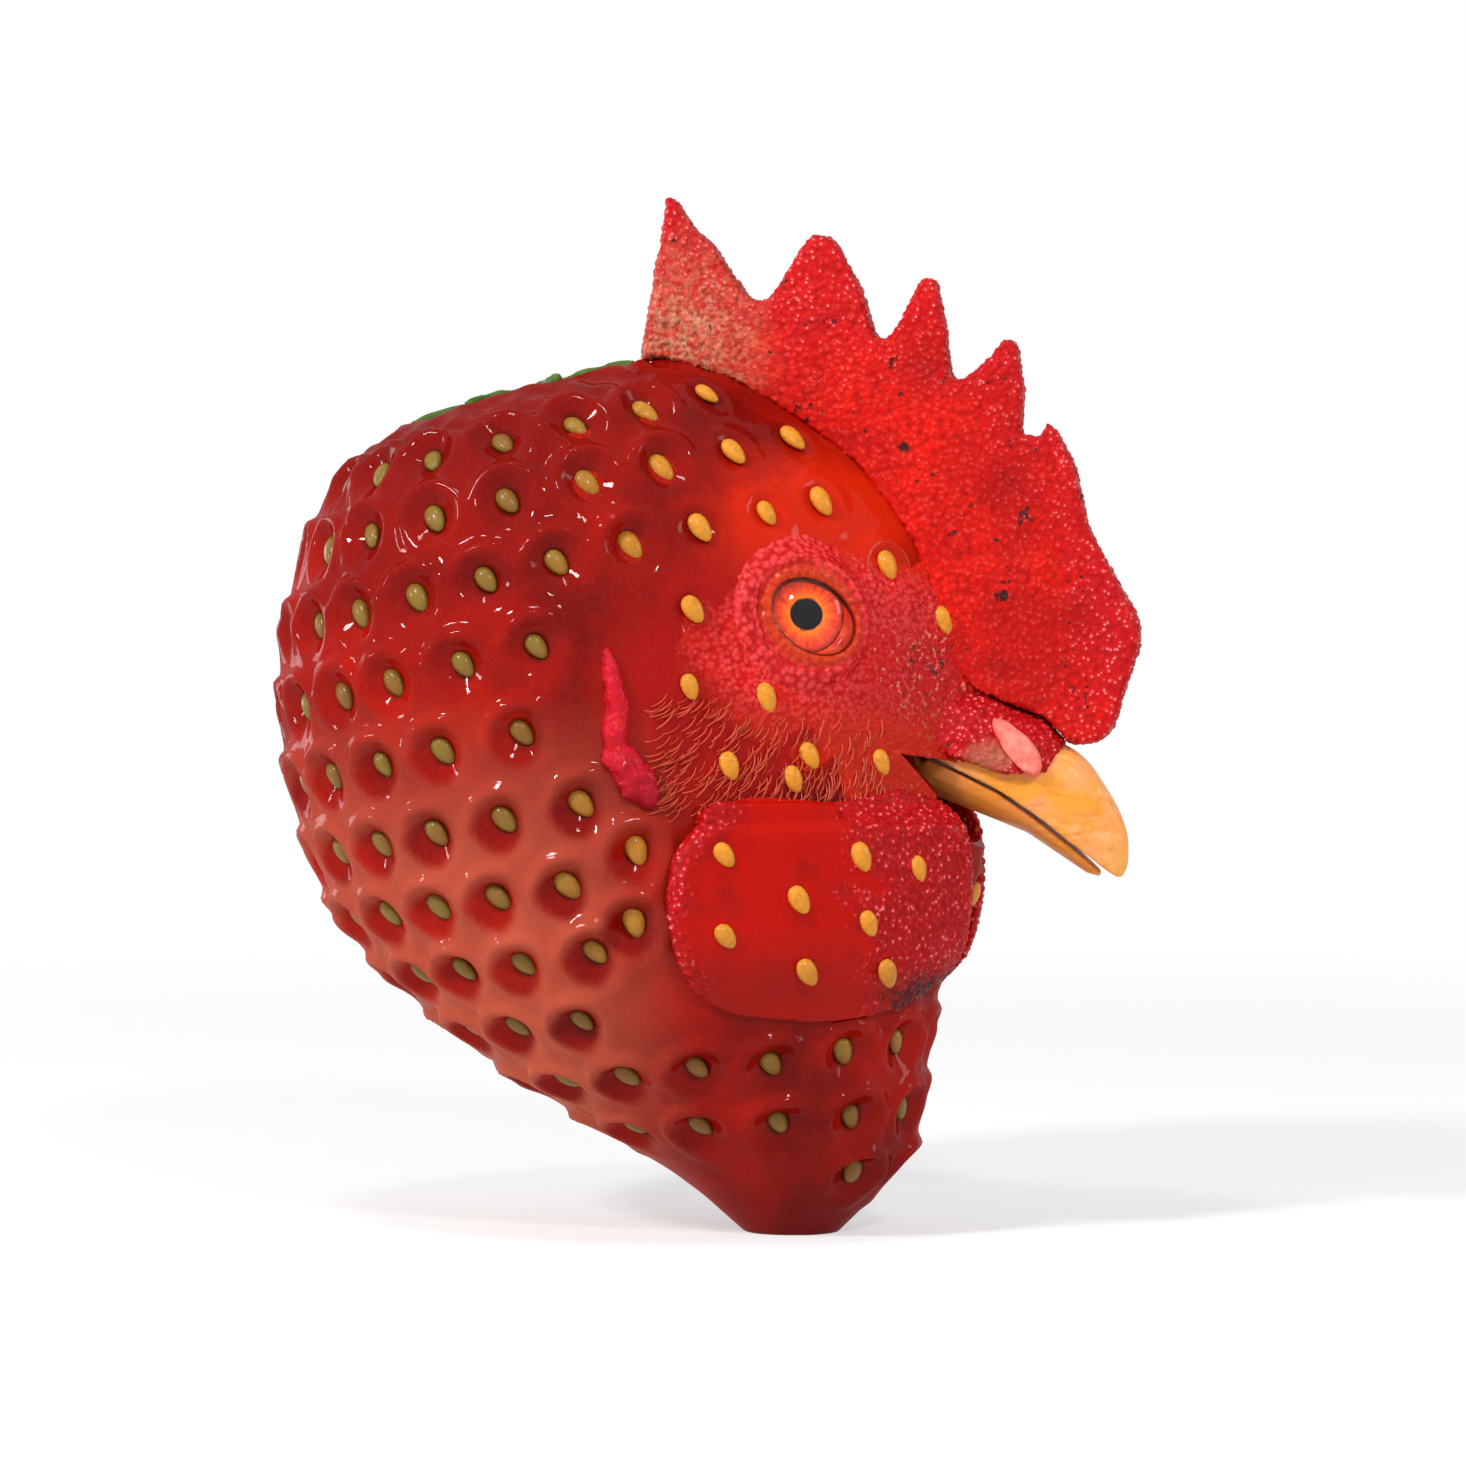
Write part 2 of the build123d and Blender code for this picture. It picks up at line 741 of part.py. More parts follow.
dimple, dimple_seed = make_dimple(dimple_rim, dimple_depth), make_seed(dimple_depth)
seat, seat_seed = make_dimple(seat_rim, seat_depth), make_seed(seat_depth)


def clear_of_features(point):
    """Whether a dimple at this point misses the comb, eyes, mouth, wattles, lobes and both ends."""
    side = abs(point.Y)
    s, t = beak_coordinates(point)
    above = calyx_plane.z_dir.dot(point - calyx_plane.origin)
    lobe = hypot(point.X - lobe_x, (point.Z - lobe_z) * lobe_wide / lobe_long)
    near_eye = (Vector(point.X, -side, point.Z) - eye_point).length < lid_outer + dimple_rim
    near_comb = side < COMB_SECTION[0][1] + dimple_rim + 0.4 and point.X > comb_x and point.Z > comb_z + 8
    near_mouth = s > -4.5 and block_floor - 3 < t < block_top + 3
    near_wattle = -17 < point.X < 27 and 31 < point.Z < 67 and side > 6
    near_lobe = lobe < lobe_wide / 2 + dimple_rim
    near_end = point.Z < 8.5 or above > -5.5
    return not (near_eye or near_comb or near_mouth or near_wattle or near_lobe or near_end)


def on_face(point):
    """The bare face has no dimples: its seeds lie in shallow seats."""
    return point.X > -12 and point.Z > 64


def row_places():
    """Rows of seeds, as places between the ribs, evenly spaced along the skin."""
    runs = [0.0]
    for low, high in pairwise(RIBS):
        back = hypot(high[0] - low[0], high[1] - low[1])
        front = hypot(high[2] - low[2], high[3] - low[3])
        runs.append(runs[-1] + (back + front) / 2)
    span = runs[-1] - row_end - row_start
    count = round(span / seed_pitch) + 1
    places = []
    for row in range(count):
        run = row_start + span * row / (count - 1)
        low = bisect(runs, run) - 1
        places.append(low + (run - runs[low]) / (runs[low + 1] - runs[low]))
    return places


def row_turns(place, shifted):
    """Turns of the seeds in a row, evenly spaced along the skin, from the face or half a step on."""
    samples = 180
    spots = [skin_point(place, 2 * pi * sample / samples) for sample in range(samples + 1)]
    runs = [0.0]
    for last, spot in pairwise(spots):
        runs.append(runs[-1] + (spot - last).length)
    count = 2 * round(runs[-1] / seed_pitch / 2)
    turns = []
    for seed in range(count):
        run = runs[-1] * (seed + (0.5 if shifted else 0)) / count
        low = bisect(runs, run) - 1
        turns.append(2 * pi * (low + (run - runs[low]) / (runs[low + 1] - runs[low])) / samples)
    return turns


def seed_rows():
    """For each row, its frames on the skin with whether each lies on the bare face."""
    rows = []
    for row, place in enumerate(row_places()):
        spots = []
        for turn in row_turns(place, row % 2 == 1):
            point = skin_point(place, turn)
            if clear_of_features(point):
                spots.append((seed_frame(point, skin_normal(place, turn)), on_face(point)))
        rows.append(spots)
    return rows


# ---- calyx ----------------------------------------------------------------------------------------------
def star_points():
    points = []
    for tip in range(2 * sepal_count):
        turn = pi * tip / sepal_count
        radius = calyx_reach if tip % 2 else calyx_core
        points.append((radius * cos(turn), radius * sin(turn)))
    return points


def star_prism(bottom, top):
    with BuildPart() as star:
        with BuildSketch(calyx_plane.offset(bottom)):
            with BuildLine():
                Polyline(*star_points(), close=True)
            make_face()
        extrude(amount=top - bottom)
    return star.part


def make_calyx():
    """The green hull: a star of sepals on a barbed peg."""
    with BuildPart() as calyx:
        add(star_prism(-calyx_recess, calyx_thickness - calyx_recess))
        with BuildSketch(calyx_plane.offset(-calyx_recess)):
            Circle(peg_radius)
        extrude(amount=calyx_recess - wall - barb_gap - barb_length)
        with BuildSketch(calyx_plane.offset(-wall - barb_gap)):
            Circle(barb_radius)
        extrude(amount=-barb_length, taper=20)
    return calyx.part


# ---- squeaker -------------------------------------------------------------------------------------------
def make_squeaker_housing():
    with BuildPart() as housing:
        Cylinder(squeaker_radius, squeaker_length, align=(Align.CENTER, Align.CENTER, Align.MIN))
        Cylinder(flange_radius, flange_thickness, align=(Align.CENTER, Align.CENTER, Align.MIN))
        with Locations((0, 0, flange_thickness)):
            Cylinder(
                squeaker_radius - squeaker_wall,
                squeaker_length,
                align=(Align.CENTER, Align.CENTER, Align.MIN),
                mode=Mode.SUBTRACT,
            )
        with PolarLocations(outlet_circle, outlet_count):
            Cylinder(
                outlet_radius,
                flange_thickness,
                align=(Align.CENTER, Align.CENTER, Align.MIN),
                mode=Mode.SUBTRACT,
            )
    return housing.part


def squeaker_core(front, back, start, length, half=squeaker_radius):
    """A slice of the squeaker's bore between two walls across X."""
    with BuildPart() as core:
        with BuildSketch(Plane.XY.offset(start)):
            Circle(squeaker_radius - squeaker_wall)
            with Locations(((front + back) / 2, 0)):
                Rectangle(front - back, 2 * half, mode=Mode.INTERSECT)
        extrude(amount=length)
    return core.part


def make_reed_seat():
    """Half of the bore, with the air channel that the reed covers."""
    with BuildPart() as reed_seat:
        add(squeaker_core(0, -squeaker_radius, reed_seat_start, reed_seat_length))
        with BuildSketch(Plane.XY.offset(reed_seat_start)):
            Rectangle(2 * channel_depth, channel_width)
        extrude(amount=reed_seat_length - wedge_length, mode=Mode.SUBTRACT)
    return reed_seat.part


def make_reed():
    top = reed_seat_start + reed_seat_length
    with BuildPart() as reed:
        with Locations((0, 0, top)):
            Box(
                reed_thickness,
                reed_width,
                reed_length,
                align=(Align.MIN, Align.CENTER, Align.MAX),
            )
    return reed.part


def make_reed_wedge():
    top = reed_seat_start + reed_seat_length
    return squeaker_core(squeaker_radius, reed_thickness, top - wedge_length, wedge_length, wedge_width / 2)


# ---- body shell -------------------------------------------------------------------------------------------
def make_body_shell(rows):
    eye_hole = disc(cup_radius + eye_play, -wall - washer_thickness, reach_past / 4)
    slit = wattle_slit()
    pits = []
    for spots in rows:
        for frame, shallow in spots:
            pits.append((seat if shallow else dimple).moved(frame))
    bore = squeaker_radius + squeaker_play
    with BuildPart() as body_shell:
        add(skin)
        add(cavity, mode=Mode.SUBTRACT)
        Cylinder(bore + collar_wall, collar_height, align=(Align.CENTER, Align.CENTER, Align.MIN))
        Cylinder(bore, collar_height, align=(Align.CENTER, Align.CENTER, Align.MIN), mode=Mode.SUBTRACT)
        Cylinder(
            flange_radius + squeaker_play,
            flange_thickness,
            align=(Align.CENTER, Align.CENTER, Align.MIN),
            mode=Mode.SUBTRACT,
        )
        add([mouth_cut, sleeve, eye_hole, mirrored(eye_hole), slit, mirrored(slit)], mode=Mode.SUBTRACT)
        add(ridge_prism(tongue_root + 2, tongue_depth, tongue_half, slot_play), mode=Mode.SUBTRACT)
        add(star_prism(-calyx_recess, calyx_thickness), mode=Mode.SUBTRACT)
        with BuildSketch(calyx_plane):
            Circle(peg_radius + peg_play)
        extrude(amount=-wall - calyx_thickness, mode=Mode.SUBTRACT)
        add(pits, mode=Mode.SUBTRACT)
    return body_shell.part


# ---- all pieces -------------------------------------------------------------------------------------------
def save(name, part):
    part.label = name
    export_step(part, f"parts/{name}.step")


def save_pair(name, part):
    save(f"{name}_right", part)
    save(f"{name}_left", mirrored(part))


os.makedirs("parts", exist_ok=True)
seed_row_spots = seed_rows()
save("body_shell", make_body_shell(seed_row_spots))
for number, spots in enumerate(seed_row_spots, 1):
    with BuildPart() as seeds_row:
        add([(seat_seed if shallow else dimple_seed).moved(frame) for frame, shallow in spots])
    save(f"seeds_row_{number:02d}", seeds_row.part)

with BuildPart() as right_wattle_seeds:
    add([seat_seed.moved(frame) for frame in wattle_seed_frames()])
save_pair("wattle_seeds", right_wattle_seeds.part)
save_pair("wattle", make_wattle())

for name, make in (
    ("ear_lobe", make_ear_lobe),
    ("eye_cup", make_eye_cup),
    ("eye_washer", make_eye_washer),
    ("iris", make_iris),
    ("pupil", make_pupil),
    ("cornea", make_cornea),
    ("eyelid", make_eyelid),
    ("nostril_flap", make_nostril_flap),
):
    save_pair(name, make())

for name, make in (
    ("upper_beak", make_upper_beak),
    ("cere", make_cere),
    ("lower_beak", make_lower_beak),
    ("hinge_pin", make_hinge_pin),
    ("jaw_block", make_jaw_block),
    ("comb", make_comb),
    ("calyx", make_calyx),
    ("squeaker_housing", make_squeaker_housing),
    ("reed_seat", make_reed_seat),
    ("reed", make_reed),
    ("reed_wedge", make_reed_wedge),
):
    save(name, make())
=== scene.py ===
"""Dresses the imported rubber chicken: skin, seeds, comb, face, eyes, horn, wattles, calyx and stage."""

import json
from math import cos, pi, radians, sin, tau

import bmesh
import bpy
import numpy as np
from bpy.props import FloatProperty, FloatVectorProperty, IntProperty, PointerProperty
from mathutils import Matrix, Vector, noise
from mathutils.bvhtree import BVHTree


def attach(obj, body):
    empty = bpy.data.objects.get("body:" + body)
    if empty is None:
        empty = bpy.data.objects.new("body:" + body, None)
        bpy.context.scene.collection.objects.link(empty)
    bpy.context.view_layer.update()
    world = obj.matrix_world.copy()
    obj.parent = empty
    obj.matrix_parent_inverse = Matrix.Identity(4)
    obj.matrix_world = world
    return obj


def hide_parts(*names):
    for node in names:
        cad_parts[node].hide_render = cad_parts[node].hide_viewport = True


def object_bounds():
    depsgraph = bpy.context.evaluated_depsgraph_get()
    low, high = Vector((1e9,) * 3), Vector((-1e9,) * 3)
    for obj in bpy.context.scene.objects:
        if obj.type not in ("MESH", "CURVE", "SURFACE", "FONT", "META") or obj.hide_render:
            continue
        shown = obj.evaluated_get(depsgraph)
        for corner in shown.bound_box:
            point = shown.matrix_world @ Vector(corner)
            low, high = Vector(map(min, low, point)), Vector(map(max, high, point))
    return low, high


bl_info = {
    "name": "Rubber Chicken",
    "version": (1, 1, 0),
    "blender": (4, 5, 0),
    "location": "View3D > Sidebar > Rubber Chicken",
    "description": "Skin, seeds, comb, face and horn of a strawberry squeeze toy with a rooster's face",
    "category": "Object",
}

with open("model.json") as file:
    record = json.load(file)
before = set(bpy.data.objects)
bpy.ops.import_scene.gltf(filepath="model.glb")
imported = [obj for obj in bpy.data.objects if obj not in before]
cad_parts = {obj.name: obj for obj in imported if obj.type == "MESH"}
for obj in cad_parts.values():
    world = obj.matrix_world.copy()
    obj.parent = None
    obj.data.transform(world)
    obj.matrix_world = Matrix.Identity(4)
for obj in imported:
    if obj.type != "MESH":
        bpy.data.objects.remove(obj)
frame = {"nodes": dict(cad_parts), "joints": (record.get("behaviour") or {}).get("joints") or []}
CAD_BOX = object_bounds()
MM = 0.001
SIDES = {"right": -1, "left": 1}

# The tables of shapes are in millimetres.
# Ribs of the body: back x, back z, front x, front z, half depth, face taper.
RIBS = (
    (-6.7, 0.0, 6.7, 0.0, 6.7, 0.0),
    (-16.5, 8.4, 16.1, 9.8, 15.0, 0.0),
    (-30.8, 16.8, 18.5, 21.0, 22.5, 0.05),
    (-44.8, 25.9, 20.7, 34.3, 30.0, 0.15),
    (-56.7, 36.1, 25.9, 48.3, 35.5, 0.45),
    (-65.1, 46.9, 29.4, 65.8, 39.5, 0.75),
    (-70.0, 60.9, 25.9, 82.6, 41.5, 0.80),
    (-71.3, 74.2, 19.6, 96.6, 42.0, 0.70),
    (-70.0, 87.5, 10.9, 107.1, 40.0, 0.55),
    (-66.5, 98.7, 1.4, 114.1, 36.0, 0.40),
    (-62.0, 106.3, -7.7, 119.4, 29.0, 0.20),
    (-55.6, 112.0, -17.5, 122.3, 19.5, 0.10),
)
LAST_RIB = len(RIBS) - 1
NOSE_POWER = 3
# Rings that turn the tip in under the squeaker's flange: radius and height.
SKIN_TIP = ((5.84, 1.05), (5.86, 0.1), (6.2, -0.02))
# A pit's reach above, below and beside its seed against its radius, and its rim's place and width.
PIT_ABOVE, PIT_BELOW, PIT_BESIDE = 0.86, 1.25, 0.95
RIM_PLACE, RIM_WIDTH = 0.7, 1.15
# In front of and above these places, x and z, a pit has this share of its size and of its depth.
BARE_FRONTS = ((-12, 64), (20, 44))
FACE_PIT_SIZE, FACE_PIT_DEPTH = 0.8, 0.4
# The hollow round an eye is whole up to the first distance and ends at the second.
EYE_HOLLOW = (7.0, 10.0)
SKIN_HOLLOW, FLESH_HOLLOW = 2.4, 2.6
# Ovals that the face's flesh fills: middle's x and z, half length and half height.
FACE_FLESH = ((9.6, 80.6, 23.0, 17.8), (19.0, 68.5, 13.0, 15.0))
# Cells of the face's sheet, its turns in degrees and its ribs, how deep its underside lies, and how it
# rises over the skin at its edge and in its middle.
FACE_ROWS, FACE_COLUMNS = 170, 190
FACE_TURNS, FACE_RIBS = (4, 84), (4.7, 9.5)
FACE_DEEP, FACE_RISE = 1.9, (-0.9, 0.3)
# The bristles' part of the cheek, x and z, and the seed of their draw.
BRISTLE_X, BRISTLE_Z, BRISTLE_DRAW = (-13, 15), (60.5, 76.0), 11
# How far a seed's middle lies over the face's skin, a pit's floor, the cheek and the wattle's own seed.
BARE_RISE, PIT_RISE, CHEEK_RISE, WATTLE_RISE = 0.25, 0.55, 0.3, 0.75
# Two more seeds on each flank, behind the wattle, and those on the cheek's flesh: x and z.
FLANK_SEEDS = ((-16.0, 54.9), (-16.6, 45.0))
FACE_SEEDS = ((-9.5, 76.9), (0.0, 75.3), (-4.4, 66.2), (3.6, 64.2), (14.5, 66.2), (22.0, 85.4))

# Stations of the upper beak from its hinge: way along, base, ridge and half width.
BEAK_DROOP = radians(31.0)
BEAK_LONG = 34.4
UPPER_BEAK = (
    (-3.0, 2.7, 11.5, 6.6),
    (6.0, 2.9, 12.2, 7.0),
    (14.0, 3.5, 12.9, 6.8),
    (21.0, 3.1, 13.2, 6.0),
    (27.0, 2.2, 10.8, 4.6),
    (31.5, 1.5, 7.6, 2.9),
    (33.6, 1.4, 4.8, 1.7),
    (BEAK_LONG, 1.5, 3.0, 0.8),
)
# The mouth in the beak's frame, along and up; its cut goes through the head, its pocket doesn't.
MOUTH_OUTLINE = (
    *((0.3, 1.5), (7.2, -1.1), (8.8, -4.8), (30.0, -4.8)),
    *((30.0, 12.5), (20.0, 10.2), (13.4, 5.2), (6.2, 3.7)),
)
MOUTH_HALF = 40.0
MOUTH_POCKET = ((-3.0, -4.8), (30.0, -4.8), (30.0, 2.6), (-3.0, 2.6))
POCKET_HALF = 7.7

# A wattle's outline, x and z, the point that its rings are drawn round, and the size of its neck.
WATTLE_OUTLINE = (
    *((-10.8, 39.5), (-12.4, 47.5), (-11.2, 55.2), (-6.0, 60.4), (0.0, 62.3), (9.0, 61.2), (16.8, 62.2)),
    *((22.8, 59.6), (24.2, 51.0), (23.0, 42.0), (19.2, 34.6), (12.0, 31.4), (1.5, 31.6), (-7.0, 34.0)),
)
WATTLE_MIDDLE = (6.0, 47.0)
WATTLE_ROWS, WATTLE_COLUMNS, WATTLE_RIDGE = 40, 240, 0.6
NECK_REACH = 10.5
# The ear lobe's fold: x, z, half width and height.
LOBE_FOLD = (
    (-20.3, 82.0, 0.5, 0.2),
    (-19.6, 79.0, 1.2, 1.2),
    (-18.6, 75.0, 1.5, 1.8),
    (-18.9, 70.8, 1.6, 2.0),
    (-18.2, 67.2, 2.1, 2.2),
    (-16.2, 64.2, 2.6, 2.3),
    (-14.6, 61.8, 1.6, 1.4),
    (-13.9, 60.6, 0.5, 0.3),
)
# The comb's points: x and z of the tip, how far back x goes per millimetre of depth, half width of
# what is narrowed, its depth, and the share kept at the tip.
COMB_TIPS = (
    (-16.5, 143.1, -0.23, 5.0, 9.0, 0.4),
    (4.5, 138.6, 0.0, 9.0, 9.0, 0.45),
    (19.6, 132.6, 0.2, 5.5, 8.0, 0.55),
    (31.2, 123.9, 0.3, 5.0, 6.5, 0.5),
    (36.6, 111.7, 0.0, 3.8, 5.0, 0.5),
)
COMB_FOOT = 66

# Profiles round an eye's axis: radius, and height over the iris's middle.
IRIS_RADIUS = 5.3
IRIS = (
    *((0, 0.0), (1.0, 0.02), (2.0, 0.05), (2.6, 0.12), (3.4, 0.2), (4.3, 0.3)),
    *((5.0, 0.36), (IRIS_RADIUS, 0.3), (IRIS_RADIUS, -0.3), (0, -0.3)),
)
PUPIL = ((0, 0.18), (1.6, 0.17), (2.05, 0.14), (2.2, 0.05), (2.2, -0.2), (0, -0.2))
PUPIL_STRETCH = (1.06, 0.93)
DOME_RADIUS, DOME_RISE, DOME_STEPS = 5.6, 1.9, 14
CORNEA_BACK = ((IRIS_RADIUS, 0.4), (4.2, 0.38), (2.2, 0.26), (0, 0.26))
MEMBRANE = ((5.15, 0.1), (5.35, 0.55), (6.0, 0.85), (6.9, 0.8), (7.7, 0.3), (7.7, -0.8), (5.15, -0.8))
# The lids' opening: its slant, half axes, and how far its middle lies from the iris along its long axis.
LID_SLANT = radians(-33)
LID_LONG, LID_SHORT, LID_SHIFT = 6.3, 4.6, 0.9
LID_OUTER = 11.2
# Section of the lids: share of the way from the opening to the outer edge, and height over the iris's rim.
LID_PROFILE = (
    *((-0.07, -1.2), (-0.05, 0.1), (-0.01, 0.95), (0.05, 1.45), (0.13, 1.62), (0.22, 1.5), (0.30, 1.12)),
    *((0.36, 1.08), (0.45, 1.3), (0.58, 1.1), (0.72, 0.75), (0.86, 0.4), (0.96, 0.05), (1.0, -0.3)),
    (1.03, -1.4),
)
LID_BACK = ((9.5, -3.5), (6.6, -3.5))
LID_COLUMNS, LID_STEPS = 220, 4
WRINKLE, BROW_BULGE, LID_GRAIN = 0.16, 0.6, 0.34

# Patches of colour: middle's x and z, half length, half height, how ragged, and the size of that noise
# with its detail and roughness where they aren't the usual ones.
BROW_PATCH = (6.0, 98.0, 15.0, 13.0, 0.5, 5.0)
CHEEK_PATCH = (-3.0, 78.0, 17.0, 17.0, 0.5, 5.0)
TAN_PATCH = (29.0, 66.8, 4.2, 2.6, 0.6, 2.0)
COMB_MIDDLE = (2.0, 88.0, 31.0, 31.0, 1.0, 5.0, 3.0)
DUST_PATCH = (-14.5, 121.0, 10.5, 15.0, 1.2, 3.0, 5.0, 0.7)
# Dirt stains on the comb: x, z and size.
COMB_STAINS = (
    *((16.4, 109.4, 1.7), (30.2, 88.9, 1.5), (29.2, 96.6, 0.9)),
    *((20.4, 86.5, 1.1), (3.0, 113.2, 0.9), (43.5, 101.0, 1.0)),
)
# Colours of the iris from its middle to its rim.
IRIS_STOPS = (
    (0.0, (0.01, 0.002, 0.0)),
    (0.40, (0.20, 0.02, 0.0)),
    (0.45, (0.95, 0.15, 0.002)),
    (0.56, (0.98, 0.11, 0.001)),
    (0.70, (0.95, 0.055, 0.001)),
    (0.84, (0.62, 0.022, 0.001)),
    (0.99, (0.05, 0.005, 0.001)),
)
MEMBRANE_DARK, MEMBRANE_PALE = (0.42, 0.014, 0.004), (0.62, 0.06, 0.02)
# The mouth's lining: dark red, partly its own colour and partly painted shade for the gap under the beak.
MOUTH_DARK_SHADE, MOUTH_PALE = (0.14, 0.005, 0.004), (0.25, 0.010, 0.008)
SCALE_PALE = (0.88, 0.30, 0.24)
LEAF_PALE = (0.12, 0.17, 0.03)
PLASTIC, EYE_BLACK, PIN_RED = (0.75, 0.75, 0.72), (0.01, 0.01, 0.012), (0.12, 0.008, 0.006)

# Lamps: name, place in metres, power in watts and size in metres.
LAMPS = (
    ("key", (-0.5, -0.62, 0.62), 5.6, 0.12),
    ("window", (-0.95, -0.25, 0.22), 1.5, 0.1),
    ("top", (-0.12, -0.38, 0.95), 1.6, 0.1),
    ("eye_light", (0.35, -0.73, 0.6), 2.8, 0.1),
    ("back", (-0.8, 0.55, 0.15), 1.6, 0.3),
    ("side", (0.9, 0.1, 0.35), 1.4, 0.25),
)
WORLD_STRENGTH = 0.42
VIEW_WIDTH = 205.0
VIEW_MIDDLE = (-8.0, 0.0, 69.6)
VIEW_AZIMUTH, VIEW_ELEVATION = radians(8.0), radians(2.0)
LENS, SENSOR = 150, 36


# ---- meshes ----
def new_object(name, data):
    made = bpy.data.objects.new(name, data)
    bpy.context.scene.collection.objects.link(made)
    return made


def new_mesh(name, points, faces, smooth=True):
    mesh = bpy.data.meshes.new(name)
    mesh.from_pydata([tuple(point) for point in points], [], [tuple(face) for face in faces])
    mesh.polygons.foreach_set("use_smooth", [smooth] * len(mesh.polygons))
    mesh.validate()
    mesh.update()
    return mesh


def vectors_of(items, key):
    flat = np.empty(len(items) * 3)
    items.foreach_get(key, flat)
    return flat.reshape(-1, 3)


def points_of(mesh):
    return vectors_of(mesh.vertices, "co")


def set_share(mesh, name, values):
    """Keeps a value from 0 to 1 at each point, for the material to read."""
    data = mesh.attributes.new(name, "FLOAT", "POINT")
    data.data.foreach_set("value", np.asarray(values, float))


def reworked(mesh, *steps):
    """Runs bmesh steps on a mesh."""
    work = bmesh.new()
    work.from_mesh(mesh)
    for run in steps:
        run(work)
    work.to_mesh(mesh)
    work.free()
    mesh.update()
    return mesh


def merge_doubles(work):
    bmesh.ops.remove_doubles(work, verts=work.verts, dist=1e-6)


def face_out(work):
    bmesh.ops.recalc_face_normals(work, faces=work.faces)


def closed_mesh(name, points, faces):
    return reworked(new_mesh(name, points, faces), merge_doubles, face_out)


def merged_copy(node):
    """The CAD node's mesh with its loose triangles joined, as a new mesh."""
    mesh = frame["nodes"][node].data.copy()
    mesh.materials.clear()
    return reworked(mesh, merge_doubles)


def islands(node):
    """The corners of each separate solid in a CAD node, in metres."""
    work = bmesh.new()
    work.from_mesh(merged_copy(node))
    left, found = set(work.verts), []
    for first in list(work.verts):
        if first not in left:
            continue
        left.discard(first)
        stack, group = [first], []
        while stack:
            vert = stack.pop()
            group.append(np.array(vert.co))
            for edge in vert.link_edges:
                other = edge.other_vert(vert)
                if other in left:
                    left.discard(other)
                    stack.append(other)
        found.append(np.array(group))
    work.free()
    return found


def evaluated(made):
    """The object's mesh with its modifiers applied; the object is removed."""
    graph = bpy.context.evaluated_depsgraph_get()
    mesh = bpy.data.meshes.new_from_object(made.evaluated_get(graph))
    bpy.data.objects.remove(made)
    return mesh


def softened(mesh, voxel, passes):
    """A mesh remade in even cells of a size in millimetres, with its facets rubbed smooth."""
    made = new_object("soft_work", mesh)
    remesh = made.modifiers.new("Remesh", "REMESH")
    remesh.mode = "VOXEL"
    remesh.voxel_size = voxel * MM
    remesh.use_smooth_shade = True
    rub = made.modifiers.new("Smooth", "SMOOTH")
    rub.iterations = passes
    rub.factor = 0.5
    return evaluated(made)


def move_points(mesh, points):
    mesh.vertices.foreach_set("co", np.asarray(points, float).ravel())
    mesh.update()


def push_out(mesh, heights):
    """Moves each point along its normal, heights in millimetres."""
    out = vectors_of(mesh.vertex_normals, "vector")
    move_points(mesh, points_of(mesh) + out * (np.asarray(heights) * MM)[:, None])


def dress(name, mesh, material, body, slot, *nodes):
    """Makes a finished piece that stands for CAD nodes and moves with a body."""
    mesh.name = name
    mesh.materials.clear()
    mesh.materials.append(material)
    made = new_object(name, mesh)
    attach(made, body)
    if nodes:
        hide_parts(*nodes)


def step(low, high, value):
    share = np.clip((value - low) / (high - low), 0, 1)
    return share * share * (3 - 2 * share)


def pebbles(points, size):
    """Height from 0 to 1 of rounded grains of a size in millimetres, at points in metres."""
    heights = np.empty(len(points))
    for number, point in enumerate(points):
        near = noise.voronoi(Vector(point) / (size * MM))[0]
        heights[number] = min((near[1] - near[0]) * 1.6, 1.0)
    return np.sqrt(heights)


def clouds(points, size, seed=0.0):
    """Smooth noise from about -1 to 1 with lumps of a size in millimetres."""
    shift = Vector((seed, seed * 1.3, seed * 0.7))
    return np.array([noise.noise(Vector(point) / (size * MM) + shift) for point in points])


def turns_of(columns):
    return [tau * column / columns for column in range(columns)]


def grid_faces(rows, columns, wrap=True, loop=False):
    """Faces between rows of points; wrap joins each row's ends, loop the last row to the first."""
    faces = []
    for row in range(rows if loop else rows - 1):
        for column in range(columns if wrap else columns - 1):
            after = (column + 1) % columns
            low, high = row * columns, (row + 1) % rows * columns
            faces.append((low + column, low + after, high + after, high + column))
    return faces


def tube_faces(rings, columns):
    """Faces that join rings of points one after another, with a flat face at each end."""
    faces = grid_faces(rings, columns)
    faces.append(tuple(reversed(range(columns))))
    faces.append(tuple((rings - 1) * columns + column for column in range(columns)))
    return faces


def fanned_faces(rings, columns):
    """Faces that join rings of points, with fans round the two points that follow them."""
    faces = grid_faces(rings, columns)
    first, top = rings * columns, (rings - 1) * columns
    for column in range(columns):
        after = (column + 1) % columns
        faces += [(first, after, column), (first + 1, top + column, top + after)]
    return faces


def smooth_row(table, place):
    """A table of rows, with one more row at each end, read between rows on a smooth curve."""
    low = min(int(place), len(table) - 4)
    share = place - low
    before, start, end, after = table[low : low + 4]
    bend = 2 * before - 5 * start + 4 * end - after + share * (3 * (start - end) + after - before)
    return start + 0.5 * share * (end - before + share * bend)


def with_ends(table):
    table = np.asarray(table, float)
    return np.concatenate([2 * table[:1] - table[1:2], table, 2 * table[-1:] - table[-2:-1]])


# ---- the skin's surface ----
def rib_ring(rib, turns):
    back_x, back_z, front_x, front_z, depth, taper = rib
    back, front = np.array((back_x, 0, back_z)), np.array((front_x, 0, front_z))
    middle, reach = (back + front) / 2, (front - back) / 2
    narrow = 1 - taper * ((1 + np.cos(turns)) / 2) ** NOSE_POWER
    ring = middle + np.cos(turns)[:, None] * reach
    ring[:, 1] += depth * np.sin(turns) * narrow
    return ring


